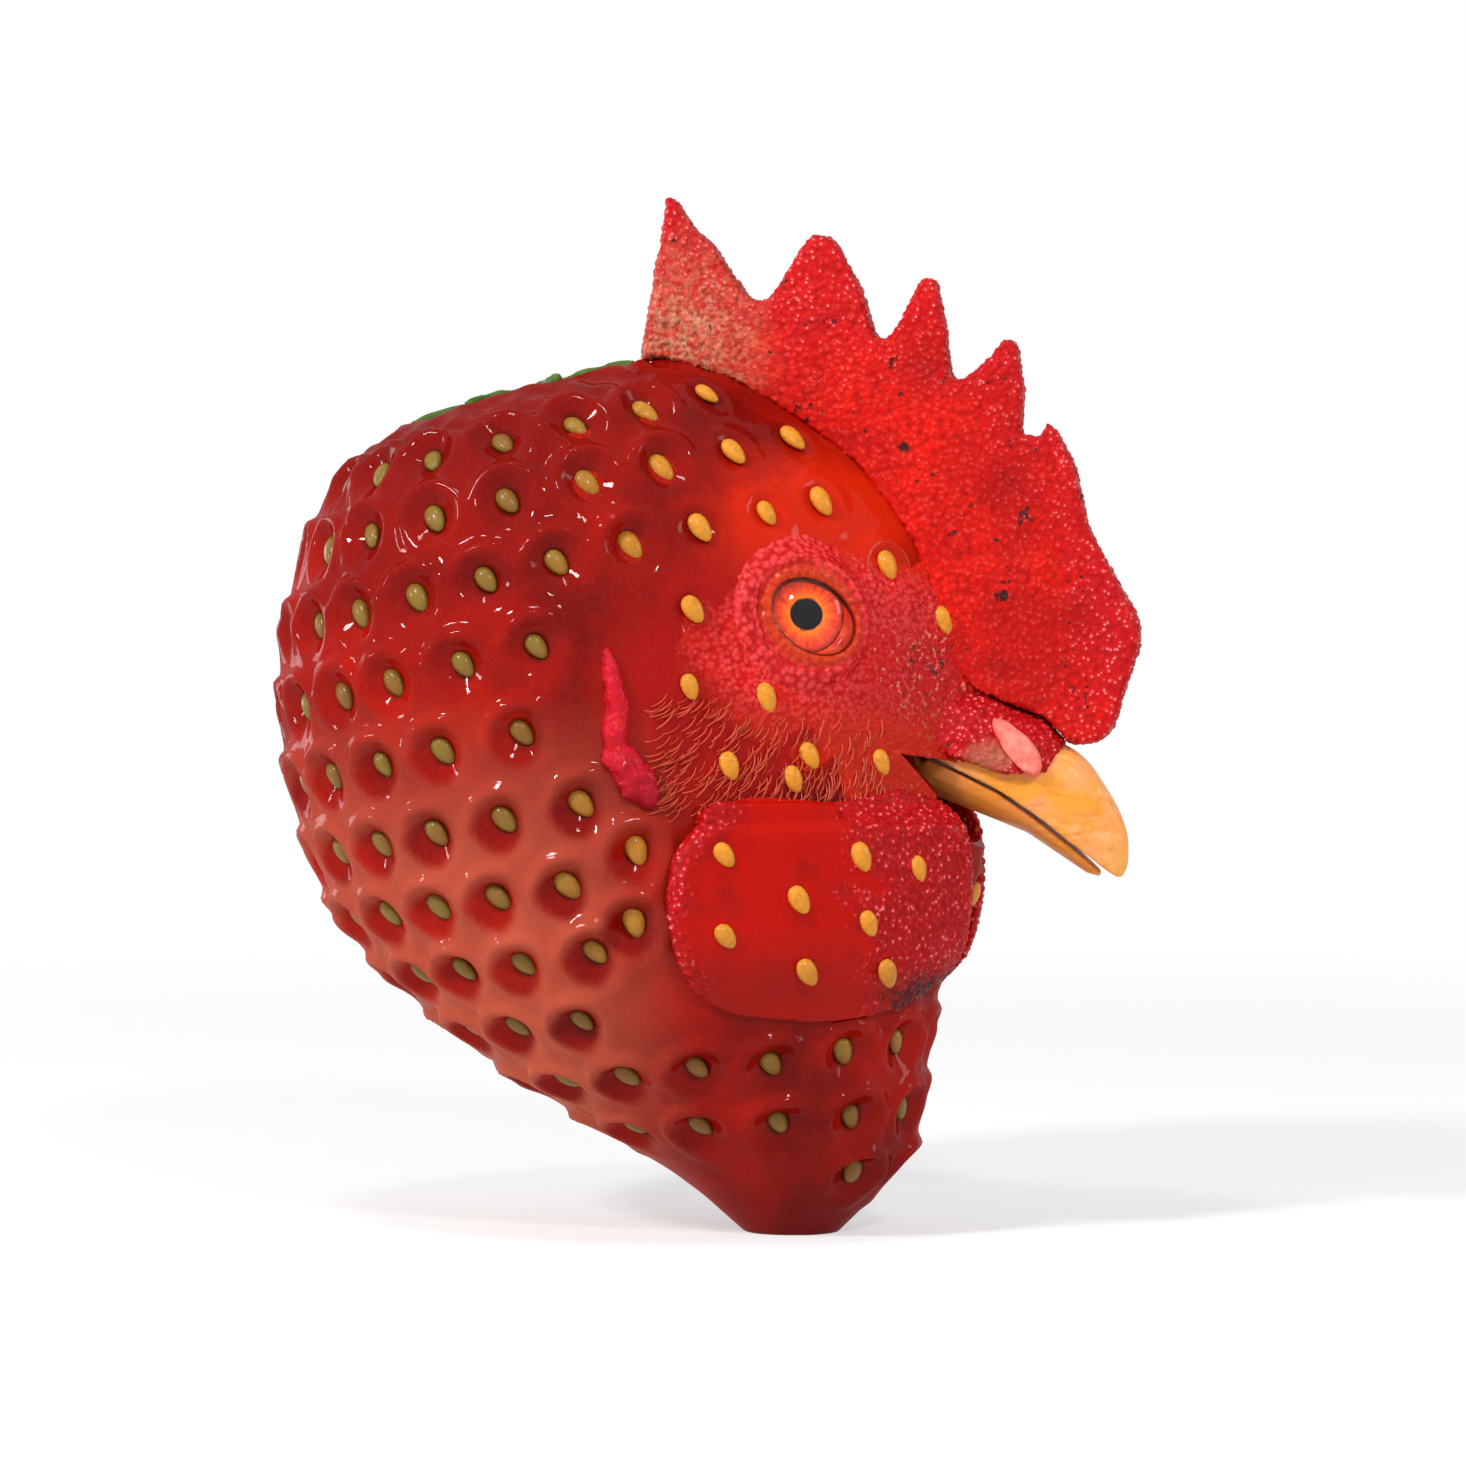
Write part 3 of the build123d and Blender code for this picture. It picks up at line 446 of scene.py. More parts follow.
def skin_grid(places, turns):
    """Points of the smooth skin in metres, row by row, and its outward normals: places are in ribs."""
    table = with_ends([rib_ring(rib, turns) for rib in RIBS])
    points = np.array([smooth_row(table, place) for place in places])
    around = np.gradient(points, axis=1)
    if abs(turns[-1] - turns[0]) > 6:
        around = np.roll(points, -1, 1) - np.roll(points, 1, 1)
    normals = np.cross(around, np.gradient(points, axis=0))
    normals /= np.linalg.norm(normals, axis=2, keepdims=True)
    return (points * MM).reshape(-1, 3), normals.reshape(-1, 3)


SKIN_CELLS = 300
WHOLE_TURN = np.linspace(0, tau, SKIN_CELLS, endpoint=False)
SKIN_POINTS, SKIN_OUT = skin_grid(np.linspace(0, LAST_RIB, SKIN_CELLS), WHOLE_TURN)
SKIN_FACES = grid_faces(SKIN_CELLS, SKIN_CELLS)
SKIN_TREE = BVHTree.FromPolygons([Vector(point) for point in SKIN_POINTS], SKIN_FACES)


def flank(x, z, side):
    """The skin's point and outward normal at x and z in millimetres, on one side."""
    start = Vector((x * MM, SIDES[side] * 0.2, z * MM))
    place, normal, _, _ = SKIN_TREE.ray_cast(start, Vector((0, -SIDES[side], 0)))
    if place is None:
        place, normal, _, _ = SKIN_TREE.find_nearest(Vector((x * MM, 0, z * MM)))
    if normal.y * SIDES[side] < 0:
        normal = -normal
    return np.array(place), np.array(normal)


def skin_height(point, out):
    """How far the skin lies from a point, along a direction, in millimetres."""
    out = Vector(out)
    place = SKIN_TREE.ray_cast(Vector(point) + out * 0.03, -out)[0]
    return 0.0 if place is None else (place - Vector(point)).dot(out) / MM


def joint_place(name):
    return next(joint for joint in frame["joints"] if joint["name"] == name)["pos_m"]


def beak_frame():
    """The beak's hinge in metres, and its directions along and up."""
    along = np.array((cos(BEAK_DROOP), 0, -sin(BEAK_DROOP)))
    up = np.array((sin(BEAK_DROOP), 0, cos(BEAK_DROOP)))
    return np.array(joint_place("beak_hinge")), along, up


def beak_point(s, t, y=0.0):
    hinge, along, up = beak_frame()
    return hinge + (along * s + up * t + np.array((0, y, 0))) * MM


def beak_prism(name, outline, half):
    """A prism across the head on an outline in the beak's frame."""
    count = len(outline)
    points = [beak_point(s, t, y) for y in (-half, half) for s, t in outline]
    faces = [tuple(range(count)), tuple(range(2 * count - 1, count - 1, -1))]
    for here in range(count):
        after = (here + 1) % count
        faces.append((here, count + here, count + after, after))
    return new_object(name, reworked(new_mesh(name, points, faces, smooth=False), face_out))


def carved(mesh, *cutters, operation="DIFFERENCE"):
    """A closed mesh less some cutters, or common with them; they are removed."""
    made = new_object("carve_work", mesh)
    for cutter in cutters:
        cut = made.modifiers.new("Cut", "BOOLEAN")
        cut.operation = operation
        cut.solver = "EXACT"
        cut.object = cutter
    mesh = evaluated(made)
    for cutter in cutters:
        bpy.data.objects.remove(cutter)
    return mesh


def without_mouth(mesh):
    cut = beak_prism("mouth_cut", MOUTH_OUTLINE, MOUTH_HALF)
    return carved(mesh, cut, beak_prism("mouth_pocket", MOUTH_POCKET, POCKET_HALF))


def off_face(points):
    """0 at the middle of the face's flesh and 1 at its edge; points in metres."""
    x, z = points[:, 0] / MM, points[:, 2] / MM
    parts = [np.hypot((x - spot[0]) / spot[2], (z - spot[1]) / spot[3]) for spot in FACE_FLESH]
    return np.min(parts, axis=0)


def seed_places(nodes):
    """Where each seed of some CAD nodes sits on the skin: its centre, outward and downward directions."""
    found = []
    for node in nodes:
        for corners in islands(node):
            middle = corners.mean(0)
            nearest = np.argmin(((SKIN_POINTS - middle) ** 2).sum(1))
            centre, out = SKIN_POINTS[nearest], SKIN_OUT[nearest]
            down = -centre + out * np.dot(centre, out)
            found.append((centre, out, down / np.linalg.norm(down)))
    return found


def body_rows():
    return sorted(node for node in frame["nodes"] if node.startswith("seeds_row"))


def flank_spot(x, z, side):
    """A seed's place on the skin with its outward and downward directions."""
    place, out = flank(x, z, side)
    down = np.array((0, 0, -1)) + out * out[2]
    return place, out, down / np.linalg.norm(down)


def pit_spots():
    """Every seed of the body, in metres: its centre, outward and downward directions."""
    more = [flank_spot(x, z, side) for side in SIDES for x, z in FLANK_SEEDS]
    return seed_places(body_rows()) + more


def bare(point):
    """Whether a seed at a point in metres is on the face or the throat's front."""
    return any(point[0] > x * MM and point[2] > z * MM for x, z in BARE_FRONTS)


def eye_hollow(points, side, depth):
    """How far the surface is sunk round an eye, in millimetres."""
    away = np.linalg.norm(points - eye_frame(side)[0], axis=1) / MM
    return depth * (1 - step(*EYE_HOLLOW, away))


# ---- shader building blocks ----
def add_node(tree, kind, inputs=None, **settings):
    """Adds a node; inputs maps socket names or numbers to values or other nodes' outputs."""
    made = tree.nodes.new(kind)
    for name, value in settings.items():
        setattr(made, name, value)
    for key, value in (inputs or {}).items():
        if isinstance(value, bpy.types.NodeSocket):
            tree.links.new(value, made.inputs[key])
        else:
            made.inputs[key].default_value = value
    return made


def math_value(tree, operation, first, second):
    return add_node(tree, "ShaderNodeMath", {0: first, 1: second}, operation=operation).outputs[0]


def colour(value):
    return value if isinstance(value, bpy.types.NodeSocket) else (*value, 1.0)


class Shade:
    """A material whose colour is laid on in steps; methods return sockets and take millimetres."""

    def __init__(self, name, rough=0.5, gloss=0.5, coat=0.0, coat_rough=0.03, flesh=0.0, red=0.003, **more):
        self.material = bpy.data.materials.new(name)
        self.material.use_nodes = True
        self.tree = self.material.node_tree
        self.shader = self.tree.nodes["Principled BSDF"]
        more.update(Roughness=rough, Specular_IOR_Level=gloss, Coat_Weight=coat, Coat_Roughness=coat_rough)
        if flesh:
            # A little light goes into the flesh, red the furthest.
            more.update(Subsurface_Weight=flesh, Subsurface_Scale=1.0)
            more.update(Subsurface_Radius=(red, red * 0.2, red * 0.1))
        for key, value in more.items():
            self.shader.inputs[key.replace("_", " ")].default_value = value
        self.place = self.node("ShaderNodeTexCoord").outputs["Object"]
        self.base = None

    def node(self, kind, inputs=None, **settings):
        return add_node(self.tree, kind, inputs, **settings)

    def done(self, **links):
        """Links the colour and other sockets to the shader."""
        for key, value in {"Base Color": self.base, **links}.items():
            self.tree.links.new(value, self.shader.inputs[key])
        return self.material

    def shown_by(self, shader):
        """Shows another shader in place of the plain one."""
        self.tree.links.new(shader.outputs[0], self.tree.nodes["Material Output"].inputs[0])
        return self.material

    def math(self, operation, first, second):
        return math_value(self.tree, operation, first, second)

    def plus(self, first, second):
        return self.math("ADD", first, second)

    def times(self, first, second):
        return self.math("MULTIPLY", first, second)

    def less(self, first, second):
        return self.math("SUBTRACT", first, second)

    def vector(self, operation, first, second=(0, 0, 0)):
        made = self.node("ShaderNodeVectorMath", {0: first, 1: second}, operation=operation)
        return made.outputs["Value" if operation in ("DISTANCE", "LENGTH", "DOT_PRODUCT") else 0]

    def kept(self, name):
        """A value that the mesh keeps at its points."""
        return self.node("ShaderNodeAttribute", attribute_name=name).outputs["Fac"]

    def noise(self, size, detail=3.0, rough=0.55, warp=0.0, place=None):
        """Noise with lumps of a size."""
        inputs = {"Scale": 1 / (size * MM), "Detail": detail, "Roughness": rough, "Distortion": warp}
        inputs["Vector"] = self.place if place is None else place
        return self.node("ShaderNodeTexNoise", inputs).outputs[0]

    def stretched(self, scale, turn=0.0):
        """The place with its axes scaled, after a turn about y."""
        inputs = {"Vector": self.place, "Rotation": (0, turn, 0), "Scale": scale}
        return self.node("ShaderNodeMapping", inputs).outputs[0]

    def cells(self, size):
        """Distance within grains of a size: 0 at a grain's middle."""
        inputs = {"Vector": self.place, "Scale": 1 / (size * MM)}
        return self.node("ShaderNodeTexVoronoi", inputs).outputs["Distance"]

    def fade(self, value, low, high, first=0.0, last=1.0, smooth=False):
        """From first to last as a value goes from low to high."""
        inputs = {0: value, "From Min": low, "From Max": high, "To Min": first, "To Max": last}
        kind = "SMOOTHSTEP" if smooth else "LINEAR"
        return self.node("ShaderNodeMapRange", inputs, interpolation_type=kind).outputs[0]

    def along(self, axis, low, high):
        """0 to 1 as one coordinate goes from low to high."""
        split = self.node("ShaderNodeSeparateXYZ", {0: self.place})
        return self.fade(split.outputs["XYZ".index(axis)], low * MM, high * MM)

    def blob(self, centre, radii):
        """Distance from a centre, 1 at the radii; a radius of None leaves that axis out."""
        inverse = tuple(1 / (radius * MM) if radius else 0.0 for radius in radii)
        off = self.vector("SUBTRACT", self.place, tuple(middle * MM for middle in centre))
        return self.vector("LENGTH", self.vector("MULTIPLY", off, inverse))

    def patch(self, x, z, long, high, ragged, size, detail=4.0, rough=0.55):
        """Distance from a spot of both sides, 1 at its radii, made ragged by noise of a size."""
        noisy = self.times(self.noise(size, detail, rough), ragged)
        return self.plus(self.blob((x, 0, z), (long, None, high)), noisy)

    def mix(self, share, first, second):
        inputs = {0: share, 6: colour(first), 7: colour(second)}
        return self.node("ShaderNodeMix", inputs, data_type="RGBA").outputs[2]

    def lay(self, tint, value, low=0.0, high=1.0, first=0.0, last=1.0, smooth=False):
        """Lays a colour on the base: a share of it from first to last as a value goes from low to high."""
        self.base = self.mix(self.fade(value, low, high, first, last, smooth), self.base, tint)

    def mottled(self, value, low, high, first, second):
        """One colour that turns to another as a value goes from low to high."""
        return self.mix(self.fade(value, low, high), first, second)

    def grains(self, size, tops, gaps, low=0.25, high=0.7):
        """Grains with tops of one colour and gaps of another, and the distance within a grain."""
        cells = self.cells(size)
        return self.mottled(cells, low, high, tops, gaps), cells

    def bump(self, height, distance, strength=1.0, normal=None):
        """A bump of a height over another normal."""
        inputs = {"Height": height, "Distance": distance * MM, "Strength": strength}
        if normal is not None:
            inputs["Normal"] = normal
        return self.node("ShaderNodeBump", inputs).outputs[0]


# ---- materials ----
def skin_material(tints):
    """Wet strawberry skin: deep red, painted milky sheen on the flank's ridges, painted shade in the pits.
    """
    s = Shade("strawberry_skin", gloss=0.0, coat=0.17, coat_rough=0.04, flesh=0.04)
    s.base = s.mottled(s.noise(17.0, 4.0), 0.38, 0.64, tints.skin_red, tints.skin_deep)
    # The crown is darker towards the back; the forehead is orange and the cheek deep red.
    s.lay(tints.skin_deep, s.times(s.along("Z", 84.0, 108.0), s.along("X", -8.0, -34.0)), last=0.85)
    s.lay(tints.brow, s.patch(*BROW_PATCH), 0.75, 1.45, 0.95, 0.0, smooth=True)
    s.lay(tints.comb_deep, s.patch(*CHEEK_PATCH), 0.8, 1.45, 0.8, 0.0, smooth=True)
    # A painted milky sheen stands for the bright room's reflection. It lies on the ridges between the pits,
    # low on the flank, and is paler at the foot.
    low_flank = s.times(s.along("Z", 76.0, 56.0), s.along("X", -9.0, -26.0))
    cloud = s.fade(s.noise(8.0, 5.0, 0.65), 0.3, 0.6, 0.75, 1.0)
    foot = s.times(s.along("Z", 60.0, 20.0), s.along("X", 2.0, -30.0))
    painted_sheen = s.times(low_flank, s.times(cloud, s.kept("ridge")))
    s.lay(s.mix(foot, tints.skin_sheen, tints.skin_pale_and_sheen), painted_sheen)
    s.lay(tints.skin_pale_and_sheen, s.noise(0.5, 3.0, 0.7), 0.5, 0.8, 0.0, 0.12)
    # Painted shade darkens the foot of each seed's pit.
    s.lay(tints.pit_shade, s.kept("pit_shade"), 0.45, 0.95, 0.0, 0.85)
    # Fine creases run down the throat.
    creases = s.noise(0.9, 4.0, 0.6, 0.6, s.stretched((1.0, 1.0, 0.14)))
    normal = s.bump(s.noise(1.6, 4.0, 0.6), 0.09, 0.7)
    normal = s.bump(s.times(s.along("X", 4.0, 18.0), creases), 0.25, 0.7, normal)
    return s.done(Roughness=s.fade(s.noise(0.4, 2.0), 0.4, 0.7, 0.24, 0.4), Normal=normal)


def face_material(tints):
    """Pebbled flesh round the eye: pink grains, crimson and specked towards the beak."""
    s = Shade("face_flesh", rough=0.3, gloss=0.05, coat=0.08, coat_rough=0.08, flesh=0.06)
    s.base, cells = s.grains(0.75, tints.flesh_pale, tints.flesh_red)
    s.lay(tints.comb_red, s.noise(5.0), 0.42, 0.7, 0.0, 0.6)
    # Towards the beak the grains turn crimson, with dark specks and pale dust between them.
    root = s.times(s.along("X", 9.0, 19.0), s.along("Z", 92.0, 82.0))
    s.lay(s.mix(s.noise(1.4), tints.comb_deep, tints.crimson), root, last=0.8)
    s.lay(tints.speck, s.plus(s.noise(1.1, 3.0, 0.7), s.times(root, 0.12)), 0.70, 0.76, 0.0, 0.85)
    s.lay(tints.dust, s.plus(s.noise(0.7, 2.0), s.times(root, 0.1)), 0.70, 0.76, 0.0, 0.8)
    # Below, the flesh is darker and orange between the bristles; above, it turns to the forehead.
    s.lay(tints.cheek, s.along("Z", 77.0, 70.0), last=0.85)
    s.lay(tints.brow, s.along("Z", 92.0, 98.0), last=0.8)
    s.lay(s.mix(s.along("X", -4.0, 6.0), tints.skin_red, tints.brow), s.kept("edge"))
    return s.done(Normal=s.bump(s.less(1.0, cells), 0.3, 0.7))


def cere_material(tints):
    """Granular flesh over the beak's root, with dark specks and a tan patch under the nostril's scale."""
    s = Shade("cere_flesh", rough=0.34, gloss=0.06, coat=0.08, coat_rough=0.1, flesh=0.05)
    s.base, cells = s.grains(0.85, tints.crimson, tints.comb_deep, 0.3)
    # Painted highlights glint on the grains' tops.
    s.lay(tints.grain_glint, cells, 0.1, 0.26, 0.6, 0.0)
    dirt = s.mix(s.noise(1.2, 4.0), tints.dust_dark, tints.dust)
    s.lay(dirt, s.patch(*TAN_PATCH), 0.8, 1.35, 0.6, 0.0)
    s.lay(tints.speck, s.noise(1.0, 4.0, 0.7), 0.62, 0.66, 0.0, 0.85)
    return s.done(Normal=s.bump(s.less(1.0, cells), 0.3, 0.7))


def comb_material(tints):
    """Granular comb flesh with dust on the first point, painted highlights on its grains, most at the
    edges, and dark specks.
    """
    s = Shade("comb_flesh", rough=0.32, gloss=0.05, coat=0.08, coat_rough=0.08, flesh=0.05)
    s.base = s.mottled(s.noise(12.0, 4.0), 0.36, 0.7, tints.comb_red, tints.comb_deep)
    # The points and the front edge of the lobe are crimson, with painted highlights on the grains' tops.
    edge = s.fade(s.patch(*COMB_MIDDLE), 1.55, 2.05, smooth=True)
    edge = s.math("MAXIMUM", edge, s.kept("rim"))
    s.lay(tints.crimson, edge, last=0.75)
    cells = s.cells(0.85)
    s.lay(tints.comb_deep, cells, 0.45, 0.9, 0.0, 0.8)
    s.lay(tints.grain_glint, s.times(s.fade(cells, 0.12, 0.3, 1.0, 0.0), s.fade(edge, 0.0, 1.0, 0.1, 0.6)))
    # Dust lies on the back point and thins out towards the front.
    dusty = s.fade(s.patch(*DUST_PATCH), 0.95, 2.0, 1.0, 0.0)
    dirt = s.mottled(s.noise(0.9, 4.0, 0.7), 0.4, 0.6, tints.dust_dark, tints.dust)
    s.lay(dirt, s.times(dusty, s.fade(s.noise(1.5), 0.4, 0.6, 0.35, 1.0)))
    black = s.fade(s.times(s.noise(4.5, 2.0), s.noise(0.9, 2.0)), 0.38, 0.42, 0.0, 0.9)
    for x, z, size in COMB_STAINS:
        stain = s.fade(s.patch(x, z, size, size, 1.6, 0.9, 4.0, 0.7), 1.1, 1.35, 0.95, 0.0)
        black = s.math("MAXIMUM", black, stain)
    s.lay(tints.speck, black)
    normal = s.bump(s.less(1.0, cells), 0.3, 0.8)
    return s.done(Normal=s.bump(s.noise(0.3, 2.0), 0.05, 0.5, normal))


def horn_material(name, tints, lower=False):
    """Layered beak horn: yellow with peach patches and fine lines along its length."""
    s = Shade(name, gloss=0.12, coat=0.08, coat_rough=0.12, flesh=0.1, red=0.002)
    turned = s.stretched((0.16, 1, 1), -BEAK_DROOP)
    lines = s.noise(1.0, 5.0, 0.62, place=turned)
    s.base = s.mottled(s.noise(6.0, 4.0, 0.6, 0.8), 0.44, 0.58, tints.horn, tints.horn_peach)
    s.lay(tints.horn_milky, s.noise(2.4, 4.0, 0.7, place=turned), 0.52, 0.68, 0.0, 0.55)
    s.lay(tints.horn_deep, lines, 0.5, 0.72, 0.0, 0.5)
    if lower:
        s.base = s.mix(0.62, s.base, tints.horn_deep)
    # The tip of the horn is worn pale; its root is darker.
    hinge, along, _ = beak_frame()
    run = s.vector("DOT_PRODUCT", s.vector("SUBTRACT", s.place, tuple(hinge)), tuple(along))
    run = s.times(run, 1 / (BEAK_LONG * MM))
    s.lay(tints.horn_deep, run, 0.02, 0.3, 0.45, 0.0)
    s.lay(tints.horn_tip, run, 0.86, 0.97, 0.0, 0.6)
    return s.done(Roughness=s.fade(lines, 0.3, 0.8, 0.28, 0.5), Normal=s.bump(lines, 0.14, 0.5))


def seed_material(tints):
    """Seeds: olive and brown on the body, golden near the face."""
    s = Shade("seed_husk", rough=0.34, gloss=0.15, coat=0.15, coat_rough=0.08)
    s.base = s.mottled(s.noise(8.0, 2.0), 0.4, 0.6, tints.seed_olive, tints.seed_brown)
    s.lay(tints.seed_gold, s.times(s.along("X", -34.0, 2.0), s.along("Z", 22.0, 50.0)), 0.1, 0.75)
    s.lay(tints.seed_brown, s.noise(0.7), 0.45, 0.8, 0.0, 0.5)
    return s.done(Normal=s.bump(s.noise(0.6), 0.08, 0.5))


def plain_material(name, tint, size=2.0, depth=0.05, second=None, **finish):
    """A finish with a little mottling and bump."""
    s = Shade(name, **finish)
    value = s.noise(size, 4.0)
    s.base = s.mottled(value, 0.4, 0.7, tint, second or tuple(0.7 * part for part in tint))
    return s.done(Normal=s.bump(value, depth, 0.5))


def iris_material():
    """Orange iris: yellow at the pupil, fine rays, a dark ring at its rim."""
    s = Shade("iris", rough=0.35, gloss=0.1)
    nearer = (s.vector("DISTANCE", s.place, tuple(eye_frame(side)[0])) for side in SIDES)
    share = s.times(s.math("MINIMUM", *nearer), 1 / (IRIS_RADIUS * MM))
    wobble = s.times(s.less(s.noise(0.8, 4.0, 0.7), 0.5), 0.16)
    rings = s.node("ShaderNodeValToRGB", {0: s.plus(share, wobble)})
    stops = rings.color_ramp.elements
    while len(stops) < len(IRIS_STOPS):
        stops.new(1.0)
    for stop, (place, tone) in zip(stops, IRIS_STOPS):
        stop.position = place
        stop.color = colour(tone)
    s.base = rings.outputs[0]
    # Fine red rays run out from the pupil; both eyes share them, folded over the middle plane.
    middle = tuple(np.abs(eye_frame("left")[0]))
    way = s.vector("NORMALIZE", s.vector("SUBTRACT", s.vector("ABSOLUTE", s.place), middle))
    rays = s.fade(s.noise(150.0, 3.0, 0.7, place=way), 0.44, 0.58, 0.0, 0.85)
    s.lay((0.42, 0.012, 0.001), s.times(rays, s.fade(share, 0.45, 0.7)))
    return s.done(Normal=s.bump(s.noise(0.4, 4.0, 0.7), 0.1, 0.6))


def pupil_material():
    s = Shade("pupil", rough=0.2, gloss=0.02)
    s.base = s.mix(s.noise(1.0), (0.001, 0.001, 0.002), (0.004, 0.004, 0.008))
    return s.done()


def cornea_material():
    """Clear wet dome that lets lamps through to the iris."""
    s = Shade("cornea", rough=0.02, IOR=1.26, Transmission_Weight=1.0)
    shadow = s.node("ShaderNodeLightPath").outputs["Is Shadow Ray"]
    clear = s.node("ShaderNodeBsdfTransparent").outputs[0]
    return s.shown_by(s.node("ShaderNodeMixShader", {0: shadow, 1: s.shader.outputs[0], 2: clear}))


def lid_material(tints):
    """Lid flesh: a wet orange-red rim that turns to the face's pebbles."""
    s = Shade("lid_flesh", rough=0.3, gloss=0.06, coat=0.15, coat_rough=0.06, flesh=0.06)
    flesh, cells = s.grains(0.95, tints.flesh_pale, tints.flesh_red)
    edge = s.kept("edge")
    s.base = s.mottled(s.noise(0.8, 4.0), 0.4, 0.65, tints.lid_rim, tints.cheek)
    s.lay(flesh, s.plus(edge, s.times(s.noise(2.0, 4.0), 0.14)), 0.28, 0.5)
    # Painted shade darkens the lids' inner edge, where they fold in against the eye.
    s.lay(tints.pit_shade, edge, 0.02, 0.07, 1.0, 0.0)
    s.lay(tints.crimson, s.along("X", 9.0, 16.0), last=0.5)
    lumps = s.times(s.less(1.0, cells), s.fade(edge, 0.2, 0.5))
    return s.done(Normal=s.bump(lumps, 0.3, 0.7))


def wattle_material(tints):
    """Glossy red in the middle, with granular crimson flesh at the rim and the front."""
    s = Shade("wattle_flesh", rough=0.3, gloss=0.03, coat=0.13, coat_rough=0.05, flesh=0.05)
    s.base = s.mix(s.fade(s.noise(7.0, 4.0, 0.6), 0.5, 0.75, 0.0, 0.7), tints.wattle_red, tints.skin_deep)
    s.lay(tints.crimson, s.noise(0.9, 2.0), 0.66, 0.72, 0.0, 0.6)
    grainy, cells = s.grains(0.95, tints.crimson, tints.comb_deep, 0.2, 0.65)
    share = s.kept("grain")
    # On the granular rim and front, painted highlights glint on the grains' tops.
    s.lay(s.mix(s.fade(cells, 0.1, 0.28, 0.55, 0.0), grainy, tints.grain_glint), share)
    # Its foot is stained at the front; behind, it has the colour of the throat that it hangs on.
    foot = s.times(s.along("X", 8.0, 20.0), s.along("Z", 42.0, 34.0))
    s.lay(tints.speck, s.times(foot, s.noise(1.4, 4.0, 0.7)), 0.22, 0.42, 0.0, 0.85)
    s.lay(tints.skin_red, s.times(s.along("Z", 45.0, 35.0), s.along("X", 16.0, 8.0)))
    return s.done(Normal=s.bump(s.times(s.less(1.0, cells), share), 0.3, 0.7))


def lobe_material(tints):
    """Magenta ridge of the ear lobe, deeper at its foot."""
    s = Shade("lobe_flesh", rough=0.32, gloss=0.05, coat=0.12, coat_rough=0.08, flesh=0.06)
    s.base, cells = s.grains(0.9, tints.lobe, tints.crimson)
    s.lay(tints.lobe_deep, s.along("Z", 70.0, 62.0), last=0.6)
    return s.done(Normal=s.bump(s.less(1.0, cells), 0.25, 0.6))


# ---- settings ----
def tint(name, description, value):
    return FloatVectorProperty(
        name=name, description=description, default=value, subtype="COLOR", size=3, min=0, max=1
    )


def length(name, description, value):
    return FloatProperty(name=name, description=f"{description}, in millimetres", default=value, min=0)


class ToyTints(bpy.types.PropertyGroup):
    """Colours of the toy."""

    skin_red: tint("Skin red", "Glossy skin", (0.34, 0.006, 0.002))
    skin_deep: tint("Skin deep red", "Darker patches of the skin", (0.17, 0.003, 0.002))
    # Painted sheen: a milky colour that stands for the bright room's reflection on the lower flank's
    # ridges.
    skin_sheen: tint("Skin milky", "Milky ridges of the flank", (0.38, 0.055, 0.03))
    # Painted sheen, paler, towards the foot; it also gives the skin its fine pale flecks.
    skin_pale_and_sheen: tint("Skin pale", "Palest flesh, towards the tip", (0.46, 0.085, 0.042))
    brow: tint("Brow", "Orange-red forehead", (0.6, 0.016, 0.002))
    # Painted shade: the dark at the foot of each seed's pit and at the lids' inner edge.
    pit_shade: tint("Pit", "Dark foot of a seed's pit", (0.07, 0.006, 0.002))
    cheek: tint("Cheek", "Flesh between the bristles", (0.42, 0.014, 0.003))
    flesh_red: tint("Flesh red", "Between the pebbles of the face", (0.48, 0.005, 0.006))
    flesh_pale: tint("Flesh pale", "Tops of the pebbles of the face", (0.8, 0.052, 0.052))
    crimson: tint("Crimson", "Edges of the comb and wattles", (0.54, 0.007, 0.013))
    # Painted highlight: pale glints on the tops of the grains of the comb, cere and wattles.
    grain_glint: tint("Frost", "Pale tops of the grains", (0.88, 0.36, 0.33))
    comb_red: tint("Comb red", "Comb", (0.7, 0.009, 0.003))
    comb_deep: tint("Comb deep red", "Darker patches of the comb", (0.36, 0.004, 0.004))
    wattle_red: tint("Wattle red", "Middle of a wattle", (0.46, 0.004, 0.0005))
    lobe: tint("Ear lobe", "Ridge of the ear lobe", (0.52, 0.01, 0.03))
    lobe_deep: tint("Ear lobe, deep", "Foot of the ear lobe", (0.26, 0.004, 0.014))
    lid_rim: tint("Lid rim", "Wet rim of the eyelids", (0.58, 0.045, 0.008))
    dust: tint("Dust", "Dust on the back point", (0.62, 0.26, 0.15))
    dust_dark: tint("Dark dust", "Dark dust on the back point", (0.22, 0.045, 0.022))
    speck: tint("Specks", "Dark specks", (0.025, 0.010, 0.010))
    horn: tint("Horn", "Beak", (0.86, 0.33, 0.04))
    horn_peach: tint("Horn peach", "Peach patches of the beak", (0.88, 0.34, 0.12))
    horn_milky: tint("Horn milky", "Pale streaks of the beak", (0.93, 0.55, 0.26))
    horn_deep: tint("Horn deep", "Lines and the lower beak", (0.55, 0.15, 0.008))
    horn_tip: tint("Horn tip", "Tip of the beak", (0.88, 0.4, 0.06))
    seed_olive: tint("Seed olive", "Seeds of the body", (0.2, 0.13, 0.016))
    seed_brown: tint("Seed brown", "Seeds of the body", (0.21, 0.09, 0.015))
    seed_gold: tint("Seed gold", "Seeds of the face and wattles", (0.72, 0.27, 0.02))
    bristle: tint("Bristle", "Bristles of the cheek", (0.6, 0.065, 0.014))
    flap: tint("Nostril scale", "Scale over the nostril", (0.84, 0.15, 0.11))
    leaf: tint("Leaf", "Calyx", (0.045, 0.11, 0.014))


